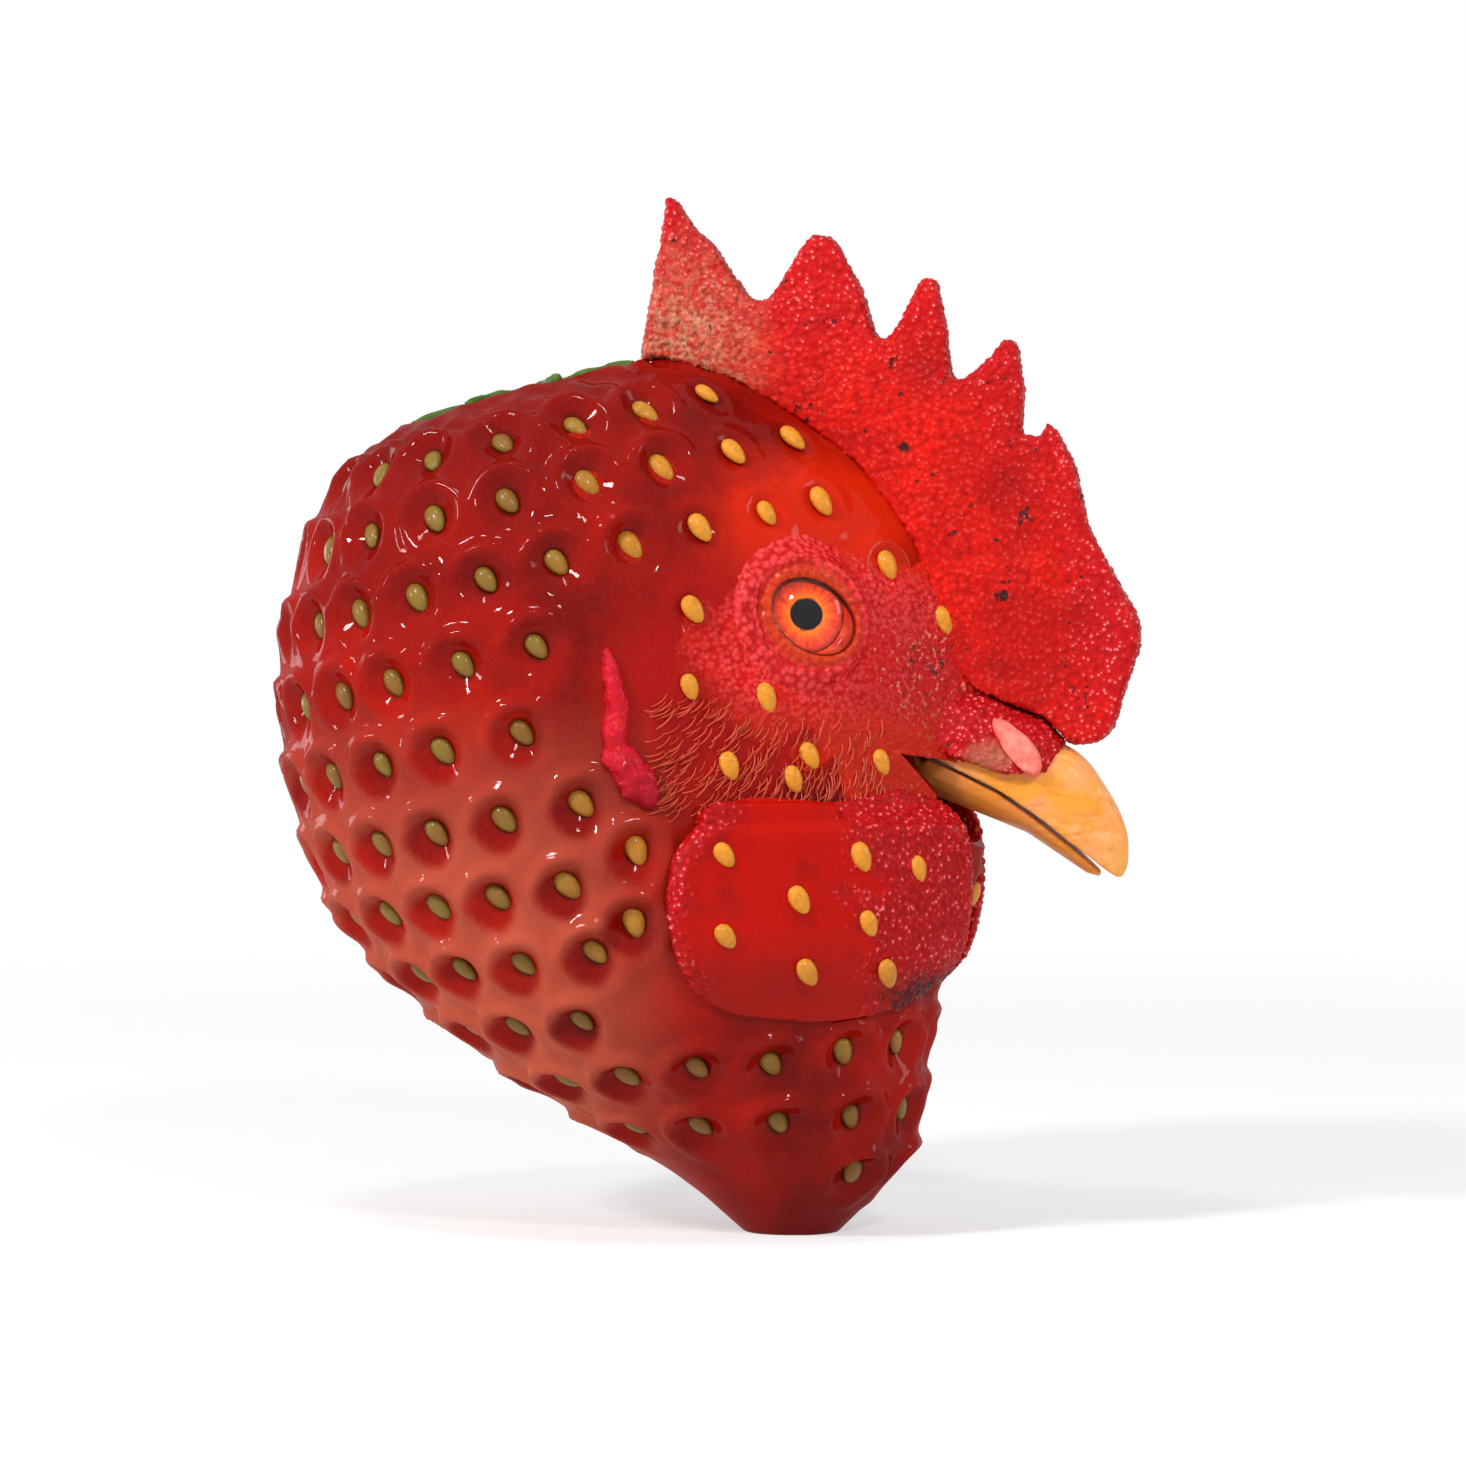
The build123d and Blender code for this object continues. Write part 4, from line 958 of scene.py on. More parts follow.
class ToySizes(bpy.types.PropertyGroup):
    """Sizes of the toy's skin and of its pieces."""

    columns: IntProperty(name="Columns", description="Cells round the body", default=352)
    rows: IntProperty(name="Rows", description="Cells from the tip to the calyx", default=250)
    pit_radius: length("Pit radius", "Radius of a seed's pit", 4.1)
    pit_depth: length("Pit depth", "Depth of a seed's pit", 1.7)
    rim_height: length("Rim height", "Height of the swollen rim over a pit", 0.8)
    seed_long: length("Seed length", "Length of a seed", 4.1)
    seed_wide: length("Seed width", "Width of a seed", 3.0)
    seed_high: length("Seed height", "Thickness of a seed", 1.9)
    pebble: length("Pebble", "Size of the grains of the face", 0.85)
    pebble_height: length("Pebble height", "Height of the grains of the face", 0.36)
    papilla: length("Papilla", "Size of the grains of the comb and wattles", 0.95)
    papilla_height: length("Papilla height", "Height of the grains of the comb and wattles", 0.42)
    wattle_gap: length("Wattle gap", "Gap between the skin and a wattle", 0.9)
    wattle_thick: length("Wattle thickness", "Thickness of a wattle", 2.7)
    bristle_long: length("Bristle length", "Length of a bristle of the cheek", 2.7)
    bristle_thick: length("Bristle thickness", "Radius of a bristle at its root", 0.085)
    bristle_count: IntProperty(name="Bristles", description="Bristles on each cheek", default=360)


# ---- skin ----
def low_back(out):
    """The direction on the skin towards the lower back, where the clear red round a seed, free of painted
    sheen, spreads furthest.
    """
    way = np.array((-0.55, 0, -0.85))
    way = way - out * np.dot(way, out)
    return way / np.linalg.norm(way)


def near_seeds(points, spots, reach):
    """For each seed, the points near it, how far they lie from it along its directions, and its centre."""
    for centre, out, down in spots:
        off = (points - centre) / MM
        near = np.einsum("ij,ij->i", off, off) < reach * reach
        off = off[near]
        yield near, off @ down, off @ np.cross(out, down), off @ low_back(out), centre


def pit_height(down, side, flat, sizes):
    """A pit, steep above its seed and running out gently below it, with a swollen rim."""
    reach = sizes.pit_radius * (FACE_PIT_SIZE if flat else 1.0)
    away = np.hypot(np.where(down < 0, down / PIT_ABOVE, down / PIT_BELOW), side / PIT_BESIDE)
    bowl = np.clip(away / reach, 0, 1)
    rim = np.exp(-(((away - reach - RIM_PLACE) / RIM_WIDTH) ** 2)) * (1 - 0.65 * np.clip(down / 4, -1, 1))
    height = sizes.rim_height * rim - sizes.pit_depth * (1 - bowl * bowl) ** 2
    return (FACE_PIT_DEPTH if flat else 1.0) * height


class RC_OT_skin(bpy.types.Operator):
    """The body's skin, with a pit for every seed and the mouth carved out"""

    bl_idname = "rubber_chicken.skin"
    bl_label = "Skin"

    def execute(self, context):
        sizes, tints = context.scene.rc_sizes, context.scene.rc_tints
        turns = np.linspace(0, tau, sizes.columns, endpoint=False)
        places = np.linspace(0, LAST_RIB, sizes.rows)
        flat, out = skin_grid(places, turns)
        spots = pit_spots()
        heights = clouds(flat, 15.0) * 0.35 + clouds(flat, 5.0, 2.0) * 0.1
        crown = step(LAST_RIB - 1.6, LAST_RIB - 0.7, np.repeat(places, len(turns)))
        heights += crown * (clouds(flat, 4.0, 7.0) * 0.9 - 0.3)
        for near, down, side, _, centre in near_seeds(flat, spots, 8.0):
            heights[near] += pit_height(down, side, bare(centre), sizes)
        for side in SIDES:
            heights -= eye_hollow(flat, side, SKIN_HOLLOW)
        circle = np.stack((np.cos(turns), np.sin(turns), np.zeros(len(turns))), 1)
        tip = [(circle * radius + (0, 0, height)) * MM for radius, height in SKIN_TIP]
        points = np.concatenate([*tip, flat + out * heights[:, None] * MM])
        mesh = new_mesh("skin_work", points, tube_faces(len(tip) + len(places), len(turns)))
        mesh = without_mouth(reworked(mesh, face_out))
        flat = points_of(mesh)
        # Shares that the skin's material reads: the ridge share is where the painted milky sheen may lie,
        # kept off each seed's lower back side; the pit share is painted shade at each seed's foot.
        ridge, pit_shade = np.ones(len(flat)), np.zeros(len(flat))
        for near, down, side, lower, centre in near_seeds(flat, spots, 9.0):
            swept = np.hypot(down, side) - 1.7 * np.clip(lower / 3.5, -0.4, 1.0)
            ridge[near] = np.minimum(ridge[near], step(2.2, 3.7, swept))
            if not bare(centre):
                pit_shade[near] = np.maximum(pit_shade[near], 1 - step(1.2, 2.7, np.hypot(down / 1.25, side)))
        set_share(mesh, "ridge", ridge)
        set_share(mesh, "pit_shade", pit_shade)
        dress("skin", mesh, skin_material(tints), "skin", "skin", "body_shell")
        return {"FINISHED"}


# ---- face flesh ----
class RC_OT_face(bpy.types.Operator):
    """The pebbled flesh round each eye, proud of the skin, and the bristles of the cheeks"""

    bl_idname = "rubber_chicken.face"
    bl_label = "Face"

    def execute(self, context):
        sizes, tints = context.scene.rc_sizes, context.scene.rc_tints
        flesh = face_material(tints)
        finish = plain_material("bristle", tints.bristle, 1.5, 0.02, tints.cheek, rough=0.4)
        tree = bristle_tree(finish, sizes)
        for side in SIDES:
            dress(f"face_flesh_{side}", face_patch(side, sizes), flesh, "skin", "face_flesh")
            roots = bristle_roots(side, sizes.bristle_count)
            grown(f"cheek_bristles_{side}", roots, tree, "skin", "face_flesh")
        return {"FINISHED"}


def face_patch(side, sizes):
    """A closed sheet over the face: it rises out of the skin where the flesh begins."""
    rows, columns = FACE_ROWS, FACE_COLUMNS
    turns = np.linspace(*(radians(turn) for turn in FACE_TURNS), columns) * SIDES[side]
    flat, out = skin_grid(np.linspace(*FACE_RIBS, rows), turns)
    if np.dot(out[len(out) // 2], (0, SIDES[side], 0)) < 0:
        out = -out
    off = off_face(flat) + clouds(flat, 7.0, 4.0) * 0.1
    share = 1 - step(0.74, 1.0, off)
    low, high = FACE_RISE
    heights = low + (high - low) * share + clouds(flat, 9.0) * 0.3 * share
    rough = share > 0.02
    bumps = np.zeros(len(flat))
    bumps[rough] = pebbles(flat[rough], sizes.pebble)
    # The grains are lower on the forehead and among the bristles.
    z = flat[:, 2] / MM
    grains = share * sizes.pebble_height * bumps * (1 - 0.6 * step(90, 97, z))
    heights += grains * (1 - 0.5 * step(76, 68, z))
    heights -= eye_hollow(flat, side, FLESH_HOLLOW)
    # Seeds sit in small hollows of the flesh.
    for near, down, across, _, _ in near_seeds(flat, seed_places(body_rows()), 4.0):
        heights[near] -= 0.5 * share[near] * (1 - step(1.2, 3.2, np.hypot(down / 1.2, across)))
    top = flat + out * heights[:, None] * MM
    under = flat - out * FACE_DEEP * MM
    count = len(flat)
    faces = grid_faces(rows, columns, wrap=False)
    faces += [tuple(count + corner for corner in face) for face in faces]
    border = [*range(columns), *range(2 * columns - 1, count, columns)]
    border += [*range(count - 2, count - columns - 1, -1), *range(count - 2 * columns, 0, -columns)]
    for here, there in zip(border, border[1:] + border[:1]):
        faces.append((here, there, count + there, count + here))
    mesh = new_mesh("face_work", np.concatenate([top, under]), faces)
    edge = step(0.60, 0.92, off + clouds(flat, 3.0, 6.0) * 0.08)
    set_share(mesh, "edge", np.concatenate([edge, edge]))
    return without_mouth(reworked(mesh, face_out))


def bristle_roots(side, count):
    """Points on the cheek with their outward direction and the way that a bristle lies."""
    draw = np.random.default_rng(BRISTLE_DRAW)
    back, foot = BRISTLE_X[0], BRISTLE_Z[0]
    spots = []
    while len(spots) < count:
        x, z = draw.uniform(*BRISTLE_X), draw.uniform(*BRISTLE_Z)
        if z > 76.5 - 0.35 * (x - back) + draw.uniform(0, 6) or z < foot + 0.06 * (x - back):
            draw.uniform()
            continue
        place, out = flank(x, z, side)
        slope = radians(draw.normal(-150 + 1.6 * (x - back), 10))
        lay = np.array((cos(slope), 0, sin(slope)))
        lay = lay - out * np.dot(lay, out)
        spots.append((place + out * 0.1 * MM, out, lay / np.linalg.norm(lay)))
    return spots


# ---- geometry nodes ----
def new_tree(name, **values):
    """A geometry nodes tree with named inputs, its group input and their values in metres."""
    tree = bpy.data.node_groups.new(name, "GeometryNodeTree")
    tree.interface.new_socket("Geometry", in_out="INPUT", socket_type="NodeSocketGeometry")
    for label, value in values.items():
        socket = tree.interface.new_socket(label, in_out="INPUT", socket_type="NodeSocketFloat")
        socket.default_value = value * MM
    tree.interface.new_socket("Geometry", in_out="OUTPUT", socket_type="NodeSocketGeometry")
    return tree, tree.nodes.new("NodeGroupInput").outputs


def finished_tree(tree, given, shape, sized, material):
    """Puts a shape on every point, its z axis along "out" and its x axis along "lay", and paints it."""
    kept = {"kind": "GeometryNodeInputNamedAttribute", "data_type": "FLOAT_VECTOR"}
    out, lay = (add_node(tree, inputs={"Name": name}, **kept).outputs[0] for name in ("out", "lay"))
    stand = add_node(tree, "FunctionNodeAlignRotationToVector", {"Vector": out}, axis="Z")
    ways = {"Rotation": stand.outputs[0], "Vector": lay}
    turn = add_node(tree, "FunctionNodeAlignRotationToVector", ways, axis="X", pivot_axis="Z")
    inputs = {"Points": given["Geometry"], "Instance": shape, "Rotation": turn.outputs[0], "Scale": sized}
    spots = add_node(tree, "GeometryNodeInstanceOnPoints", inputs)
    real = add_node(tree, "GeometryNodeRealizeInstances", {0: spots.outputs[0]})
    painted = add_node(tree, "GeometryNodeSetMaterial", {0: real.outputs[0], "Material": material})
    tree.links.new(painted.outputs[0], tree.nodes.new("NodeGroupOutput").inputs[0])
    tree["finish"] = material
    return tree


def varied(tree, low, high, seed):
    """A random size for each point."""
    inputs = {2: low, 3: high, "Seed": seed}
    return add_node(tree, "FunctionNodeRandomValue", inputs, data_type="FLOAT").outputs[1]


def bristle_tree(material, sizes):
    """Geometry nodes: a bent, tapered bristle on every point."""
    tree, given = new_tree("bristles", Length=sizes.bristle_long, Thickness=sizes.bristle_thick)
    bend = {"Resolution": 5, "Start": (0, 0, 0), "Middle": (0.5, 0.16, 0.3), "End": (1, 0, 0.06)}
    line = add_node(tree, "GeometryNodeCurveQuadraticBezier", bend)
    along = add_node(tree, "GeometryNodeSplineParameter").outputs["Factor"]
    taper = add_node(tree, "ShaderNodeMapRange", {0: along, "To Min": 1.0, "To Max": 0.15}).outputs[0]
    thin = add_node(tree, "GeometryNodeSetCurveRadius", {"Curve": line.outputs[0], "Radius": taper})
    share = math_value(tree, "DIVIDE", given["Thickness"], given["Length"])
    ring = add_node(tree, "GeometryNodeCurvePrimitiveCircle", {"Resolution": 4, "Radius": share})
    inputs = {"Curve": thin.outputs[0], "Profile Curve": ring.outputs[0], "Fill Caps": True}
    tube = add_node(tree, "GeometryNodeCurveToMesh", inputs)
    sized = math_value(tree, "MULTIPLY", varied(tree, 0.6, 1.25, 5), given["Length"])
    return finished_tree(tree, given, tube.outputs[0], sized, material)


def seed_tree(material, sizes):
    """Geometry nodes: a husk on every point, its long axis down the body."""
    tree, given = new_tree(
        "seed_husks", Length=sizes.seed_long, Width=sizes.seed_wide, Height=sizes.seed_high
    )
    ball = add_node(tree, "GeometryNodeMeshUVSphere", {"Segments": 12, "Rings": 8, "Radius": 0.5})
    place = add_node(tree, "GeometryNodeInputPosition").outputs[0]
    split = add_node(tree, "ShaderNodeSeparateXYZ", {0: place})
    # The husk narrows towards its lower end.
    ends = {0: split.outputs[0], "From Min": -0.5, "From Max": 0.5, "To Min": 1.08, "To Max": 0.76}
    narrow = add_node(tree, "ShaderNodeMapRange", ends).outputs[0]
    scale = add_node(tree, "ShaderNodeCombineXYZ", {0: 1.0, 1: narrow, 2: narrow})
    shaped = add_node(tree, "ShaderNodeVectorMath", {0: place, 1: scale.outputs[0]}, operation="MULTIPLY")
    turned = add_node(tree, "GeometryNodeTransform", {0: ball.outputs[0], "Rotation": (0, pi / 2, 0)})
    inputs = {0: turned.outputs[0], "Position": shaped.outputs[0]}
    husk = add_node(tree, "GeometryNodeSetPosition", inputs)
    smooth = add_node(tree, "GeometryNodeSetShadeSmooth", {0: husk.outputs[0]})
    edges = {0: given["Length"], 1: given["Width"], 2: given["Height"]}
    size = add_node(tree, "ShaderNodeCombineXYZ", edges)
    inputs = {0: size.outputs[0], "Scale": varied(tree, 0.9, 1.1, 4)}
    sized = add_node(tree, "ShaderNodeVectorMath", inputs, operation="SCALE")
    return finished_tree(tree, given, smooth.outputs[0], sized.outputs[0], material)


def grown(name, spots, tree, body, slot, *nodes):
    """Runs a tree on points that have a place, an outward direction and the way that a piece lies."""
    mesh = bpy.data.meshes.new(name)
    mesh.from_pydata([tuple(spot[0]) for spot in spots], [], [])
    for number, label in ((1, "out"), (2, "lay")):
        data = mesh.attributes.new(label, "FLOAT_VECTOR", "POINT")
        data.data.foreach_set("vector", np.array([spot[number] for spot in spots]).ravel())
    made = new_object(name + "_work", mesh)
    growth = made.modifiers.new("Pieces", "NODES")
    growth.node_group = tree
    for socket in tree.interface.items_tree:
        if socket.in_out == "INPUT" and socket.socket_type == "NodeSocketFloat":
            growth[socket.identifier] = socket.default_value
    mesh = evaluated(made)
    for label in ("out", "lay"):
        if label in mesh.attributes:
            mesh.attributes.remove(mesh.attributes[label])
    dress(name, mesh, tree["finish"], body, slot, *nodes)


# ---- seeds ----
def leaning(out, down):
    """A seed's long axis, leaning a little forwards at its foot."""
    across = np.cross(out, down)
    across *= np.sign(across[0]) if abs(across[0]) > 1e-6 else 1
    way = down + 0.32 * across
    return way / np.linalg.norm(way)


class RC_OT_seeds(bpy.types.Operator):
    """Husks of the seeds, at the foot of every pit, on the cheeks and on the wattles"""

    bl_idname = "rubber_chicken.seeds"
    bl_label = "Seeds"

    def execute(self, context):
        sizes = context.scene.rc_sizes
        tree = seed_tree(seed_material(context.scene.rc_tints), sizes)
        deep = PIT_RISE - sizes.pit_depth
        spots = [(BARE_RISE if bare(spot[0]) else deep, spot) for spot in pit_spots()]
        spots += [(CHEEK_RISE, flank_spot(x, z, side)) for side in SIDES for x, z in FACE_SEEDS]
        husks = [(place + out * rise * MM, out, leaning(out, down)) for rise, (place, out, down) in spots]
        grown("seeds_body", husks, tree, "skin", "seeds", *body_rows())
        for side in SIDES:
            node = f"wattle_seeds_{side}"
            husks = [
                (corners.mean(0) + out * WATTLE_RISE * MM, out, leaning(out, down))
                for corners, (_, out, down) in zip(islands(node), seed_places([node]))
            ]
            grown(f"seeds_wattle_{side}", husks, tree, f"wattle_{side}", "seeds", node)
        return {"FINISHED"}


# ---- comb ----
def tapered(points):
    """The comb's points narrowed to rounded tips."""
    x, z = points[:, 0] / MM, points[:, 2] / MM
    moved = x.copy()
    for tip_x, tip_z, slant, half, deep, kept in COMB_TIPS:
        depth = tip_z - z
        off = x - tip_x + slant * depth
        pinch = (1 - kept) * np.clip(1 - depth / deep, 0, 1) ** 1.5
        pinch = pinch * (1 - step(0.7, 1.0, np.abs(off) / half))
        moved -= off * pinch * (depth < deep)
    return np.stack((moved * MM, points[:, 1], points[:, 2]), 1)


class RC_OT_comb(bpy.types.Operator):
    """The comb, swollen and covered in small grains"""

    bl_idname = "rubber_chicken.comb"
    bl_label = "Comb"

    def execute(self, context):
        sizes = context.scene.rc_sizes
        mesh = softened(merged_copy("comb"), 0.32, 42)
        move_points(mesh, tapered(points_of(mesh)))
        points, out = points_of(mesh), vectors_of(mesh.vertex_normals, "vector")
        # Its edge is where the surface no longer faces sideways.
        rim = 1 - step(0.55, 0.9, np.abs(out[:, 1]))
        rim[points[:, 2] < COMB_FOOT * MM] = 0
        heights = clouds(points, 10.0) * 0.35 + clouds(points, 3.5, 5.0) * 0.2
        heights += pebbles(points, sizes.papilla) * sizes.papilla_height * (0.75 + 0.35 * rim) - 0.2 * rim
        push_out(mesh, heights)
        set_share(mesh, "rim", rim)
        dress("comb_flesh", mesh, comb_material(context.scene.rc_tints), "skin", "comb", "comb")
        return {"FINISHED"}


# ---- eyes ----
def eye_frame(side):
    """An eye's middle on the iris, its outward axis, and its directions forwards and up."""
    corners = points_of(merged_copy(f"pupil_{side}"))
    middle = corners.mean(0)
    flat = corners - middle
    axes = np.linalg.svd(flat, full_matrices=False)[2]
    out = axes[np.argmin(np.abs(flat @ axes.T).max(0))]
    out = out * np.sign(out[1] * SIDES[side])
    forward = np.cross((0, 0, 1), out)
    forward *= np.sign(forward[0]) / np.linalg.norm(forward)
    up = np.cross(out, forward)
    return middle, out, forward, up * np.sign(up[2])


def eye_point(here, radius, turn, height, stretch=(1, 1)):
    middle, out, forward, up = here
    x, y = radius * cos(turn) * stretch[0], radius * sin(turn) * stretch[1]
    return middle + (forward * x + up * y + out * height) * MM


def eye_rings(here, profile, columns, stretch=(1, 1)):
    turns = turns_of(columns)
    return [eye_point(here, radius, turn, height, stretch) for radius, height in profile for turn in turns]


def lathe(here, profile, columns=64, stretch=(1, 1)):
    """A closed turned form round an eye's axis; the profile starts and ends on the axis."""
    points = eye_rings(here, profile[1:-1], columns, stretch)
    points += [eye_point(here, 0, 0, height) for _, height in (profile[0], profile[-1])]
    return closed_mesh("turned", points, fanned_faces(len(profile) - 2, columns))


def hoop(here, profile, columns=96):
    """A closed ring round an eye's axis."""
    faces = grid_faces(len(profile), columns, loop=True)
    return closed_mesh("hoop", eye_rings(here, profile, columns), faces)


def opening(turn):
    """How far the lids' opening reaches from the iris's middle, in a direction."""
    away = turn - LID_SLANT
    a, b, c = LID_LONG, LID_SHORT, LID_SHIFT
    square = (cos(away) / a) ** 2 + (sin(away) / b) ** 2
    half = cos(away) * c / a**2
    return (half + (half**2 - square * (c * c / a**2 - 1)) ** 0.5) / square


def lids(here):
    """Both lids of an eye as one closed ring, wrinkled, and blended into the skin round them."""
    table = with_ends(LID_PROFILE)
    count = (len(LID_PROFILE) - 1) * LID_STEPS + 1
    shares = [smooth_row(table, number / LID_STEPS) for number in range(count)]
    turns = turns_of(LID_COLUMNS)
    lifts = [skin_height(eye_point(here, LID_OUTER, turn, 0), here[1]) for turn in turns]
    rows, edges = [], []
    for share, height in shares:
        for turn, lift in zip(turns, lifts):
            start = opening(turn)
            radius = start + share * (LID_OUTER - start)
            wrinkle = WRINKLE * sin(turn * 26 + 1.5 * sin(turn * 3)) * np.exp(-(((share - 0.3) / 0.2) ** 2))
            brow = BROW_BULGE * max(0.0, sin(turn + 0.5)) * np.exp(-(((share - 0.5) / 0.25) ** 2))
            blend = step(0.3, 0.95, share)
            rise = height + wrinkle + brow * (1 - blend) + blend * lift
            rows.append(eye_point(here, radius, turn, rise))
            edges.append(share)
    back = eye_rings(here, LID_BACK, len(turns))
    edges = np.array(edges + [0.0] * len(back))
    faces = grid_faces(len(shares) + len(LID_BACK), len(turns), loop=True)
    mesh = reworked(new_mesh("lids", rows + back, faces), face_out)
    push_out(mesh, pebbles(points_of(mesh), 1.0) * LID_GRAIN * step(0.3, 0.5, edges) * (edges < 1.01))
    set_share(mesh, "edge", edges)
    return mesh


class RC_OT_eyes(bpy.types.Operator):
    """Iris, pupil, cornea, inner membrane and lids of both eyes"""

    bl_idname = "rubber_chicken.eyes"
    bl_label = "Eyes"

    def execute(self, context):
        iris, pupil, cornea = iris_material(), pupil_material(), cornea_material()
        flesh = lid_material(context.scene.rc_tints)
        wet = {"rough": 0.25, "gloss": 0.1, "coat": 0.15}
        inner = plain_material("membrane", MEMBRANE_DARK, 1.6, 0.06, MEMBRANE_PALE, **wet)
        bows = [pi / 2 / DOME_STEPS * number for number in range(1, DOME_STEPS + 1)]
        dome = [(DOME_RADIUS * sin(bow), 0.3 + DOME_RISE * cos(bow)) for bow in bows]
        dome = [(0, 0.3 + DOME_RISE), *dome, *CORNEA_BACK]
        for side in SIDES:
            here = eye_frame(side)
            dress(f"eye_iris_{side}", lathe(here, IRIS, 96), iris, "skin", "iris", f"iris_{side}")
            mesh = lathe(here, PUPIL, stretch=PUPIL_STRETCH)
            dress(f"eye_pupil_{side}", mesh, pupil, "skin", "eye_black", f"pupil_{side}")
            dress(f"eye_cornea_{side}", lathe(here, dome), cornea, "skin", "cornea", f"cornea_{side}")
            dress(f"eye_lids_{side}", lids(here), flesh, "skin", "face_flesh", f"eyelid_{side}")
            dress(f"eye_membrane_{side}", hoop(here, MEMBRANE), inner, "skin", "face_flesh")
        return {"FINISHED"}


# ---- beak ----
def horn_mesh(stations, columns=56, rows=90):
    """A beak of arches with a flat underside."""
    table = with_ends(stations)
    points = []
    for row in range(rows):
        s, base, crown, half = smooth_row(table, row / (rows - 1) * (len(stations) - 1))
        for turn in turns_of(columns):
            y = half * np.sign(sin(turn)) * abs(sin(turn)) ** 0.85
            points.append(beak_point(s, base + (crown - base) * max(cos(turn), 0) ** 0.9, y))
    return closed_mesh("horn", points, tube_faces(rows, columns))


def scale_mesh(node, rows=28, columns=24):
    """A domed nostril scale as long, wide and thick as its CAD piece."""
    corners = points_of(merged_copy(node))
    middle = (corners.max(0) + corners.min(0)) / 2
    ways = np.linalg.svd(corners - corners.mean(0), full_matrices=False)[2]
    reach = np.abs((corners - middle) @ ways.T).max(0)
    points = []
    for row in range(rows):
        along = row / (rows - 1) * 2 - 1
        half = (1 - along * along) ** 0.6 * (1 + 0.25 * along)
        for turn in turns_of(columns):
            sides = (along, 0.9 * half * cos(turn) + 0.1 * along * along, 0.95 * half**0.4 * sin(turn))
            points.append(middle + sum(way * part * size for way, part, size in zip(ways, sides, reach)))
    return closed_mesh("scale", points, tube_faces(rows, columns))


class RC_OT_beak(bpy.types.Operator):
    """Upper and lower horn, the flesh at their root, the nostril scales and the mouth's lining"""

    bl_idname = "rubber_chicken.beak"
    bl_label = "Beak"

    def execute(self, context):
        sizes, tints = context.scene.rc_sizes, context.scene.rc_tints
        mesh = softened(horn_mesh(UPPER_BEAK), 0.35, 4)
        push_out(mesh, clouds(points_of(mesh), 5.0) * 0.12)
        dress("beak_upper", mesh, horn_material("horn_upper", tints), "skin", "horn", "upper_beak")
        mesh, deep = softened(merged_copy("lower_beak"), 0.35, 8), horn_material("horn_lower", tints, True)
        dress("beak_lower", mesh, deep, "lower_beak", "horn", "lower_beak")
        mesh = softened(merged_copy("cere"), 0.3, 8)
        flat = points_of(mesh)
        push_out(mesh, clouds(flat, 4.0) * 0.3 + pebbles(flat, sizes.papilla) * sizes.papilla_height)
        dress("cere_flesh", mesh, cere_material(tints), "skin", "face_flesh", "cere")
        pink = plain_material("nostril_scale", tints.flap, 1.6, 0.08, SCALE_PALE, rough=0.35, gloss=0.1)
        for side in SIDES:
            mesh = softened(scale_mesh(f"nostril_flap_{side}"), 0.2, 4)
            push_out(mesh, clouds(points_of(mesh), 1.8) * 0.15)
            dress(f"nostril_scale_{side}", mesh, pink, "skin", "flap", f"nostril_flap_{side}")
        # The lining's dark red is partly painted shade for the mouth's gap.
        wet = plain_material("mouth_lining", MOUTH_DARK_SHADE, 3.0, 0.15, MOUTH_PALE, rough=0.4, gloss=0.05)
        mesh = softened(merged_copy("jaw_block"), 0.5, 5)
        dress("mouth_lining", mesh, wet, "skin", "mouth", "jaw_block")
        return {"FINISHED"}


# ---- wattles and lobes ----
def outline_loop(columns):
    """A wattle's outline, rounded: x and z in millimetres."""
    table = np.array(WATTLE_OUTLINE)
    table = np.concatenate([table[-1:], table, table[:2]])
    count = len(WATTLE_OUTLINE)
    return np.array([smooth_row(table, count * column / columns) for column in range(columns)])


def wattle_flap(side, sizes):
    """A flap that follows the skin at a gap, thick to its rounded rim."""
    rows, columns = WATTLE_ROWS, WATTLE_COLUMNS
    loop = outline_loop(columns)
    middle = np.array(WATTLE_MIDDLE)
    spread = 1 - (1 - np.linspace(0, 1, rows)) ** 1.8
    sheet = [flank(x, z, side) for share in spread for x, z in middle + (loop - middle) * share]
    places, normals = (np.array(part).reshape(rows, columns, 3) for part in zip(*sheet))
    x, z = places[:, :, 0] / MM, places[:, :, 2] / MM
    # It hugs the cheek at its top edge, thins towards its foot and swells along its back edge.
    hug = 1 - 0.8 * step(56.5, 61.0, z)
    half = sizes.wattle_thick / 2 * hug * (1 - 0.65 * step(41.0, 33.0, z))
    gap = sizes.wattle_gap * (1 - 0.7 * step(57.0, 61.0, z)) * (1 - 0.6 * step(41.0, 33.0, z))
    rounded = np.sqrt(np.clip(1 - spread**18, 0, 1))[:, None]
    ridge = WATTLE_RIDGE * (np.exp(-(((spread - 0.9) / 0.07) ** 2)) * (spread < 0.999))[:, None]
    ridge = ridge * step(0.0, -8.0, x) * hug
    outer = places + normals * (gap + half + half * rounded + ridge)[:, :, None] * MM
    inner = places + normals * (gap + half - half * rounded)[:, :, None] * MM
    rings = np.concatenate([outer[1:], inner[-2:0:-1]])
    points = [*rings.reshape(-1, 3), outer[0, 0], inner[0, 0]]
    return reworked(new_mesh("flap", points, fanned_faces(len(rings), columns)), face_out)


def neck_of(side):
    """The part of a wattle's CAD solid near its pivot: the neck and the bar behind the skin."""
    pivot = Vector(joint_place(f"wattle_{side}_swing"))

    def ball(work):
        bmesh.ops.create_icosphere(work, subdivisions=3, radius=NECK_REACH * MM)
        bmesh.ops.translate(work, verts=work.verts, vec=pivot)

    near = new_object("neck_ball", reworked(bpy.data.meshes.new("neck_ball"), ball))
    return carved(merged_copy(f"wattle_{side}"), near, operation="INTERSECT")


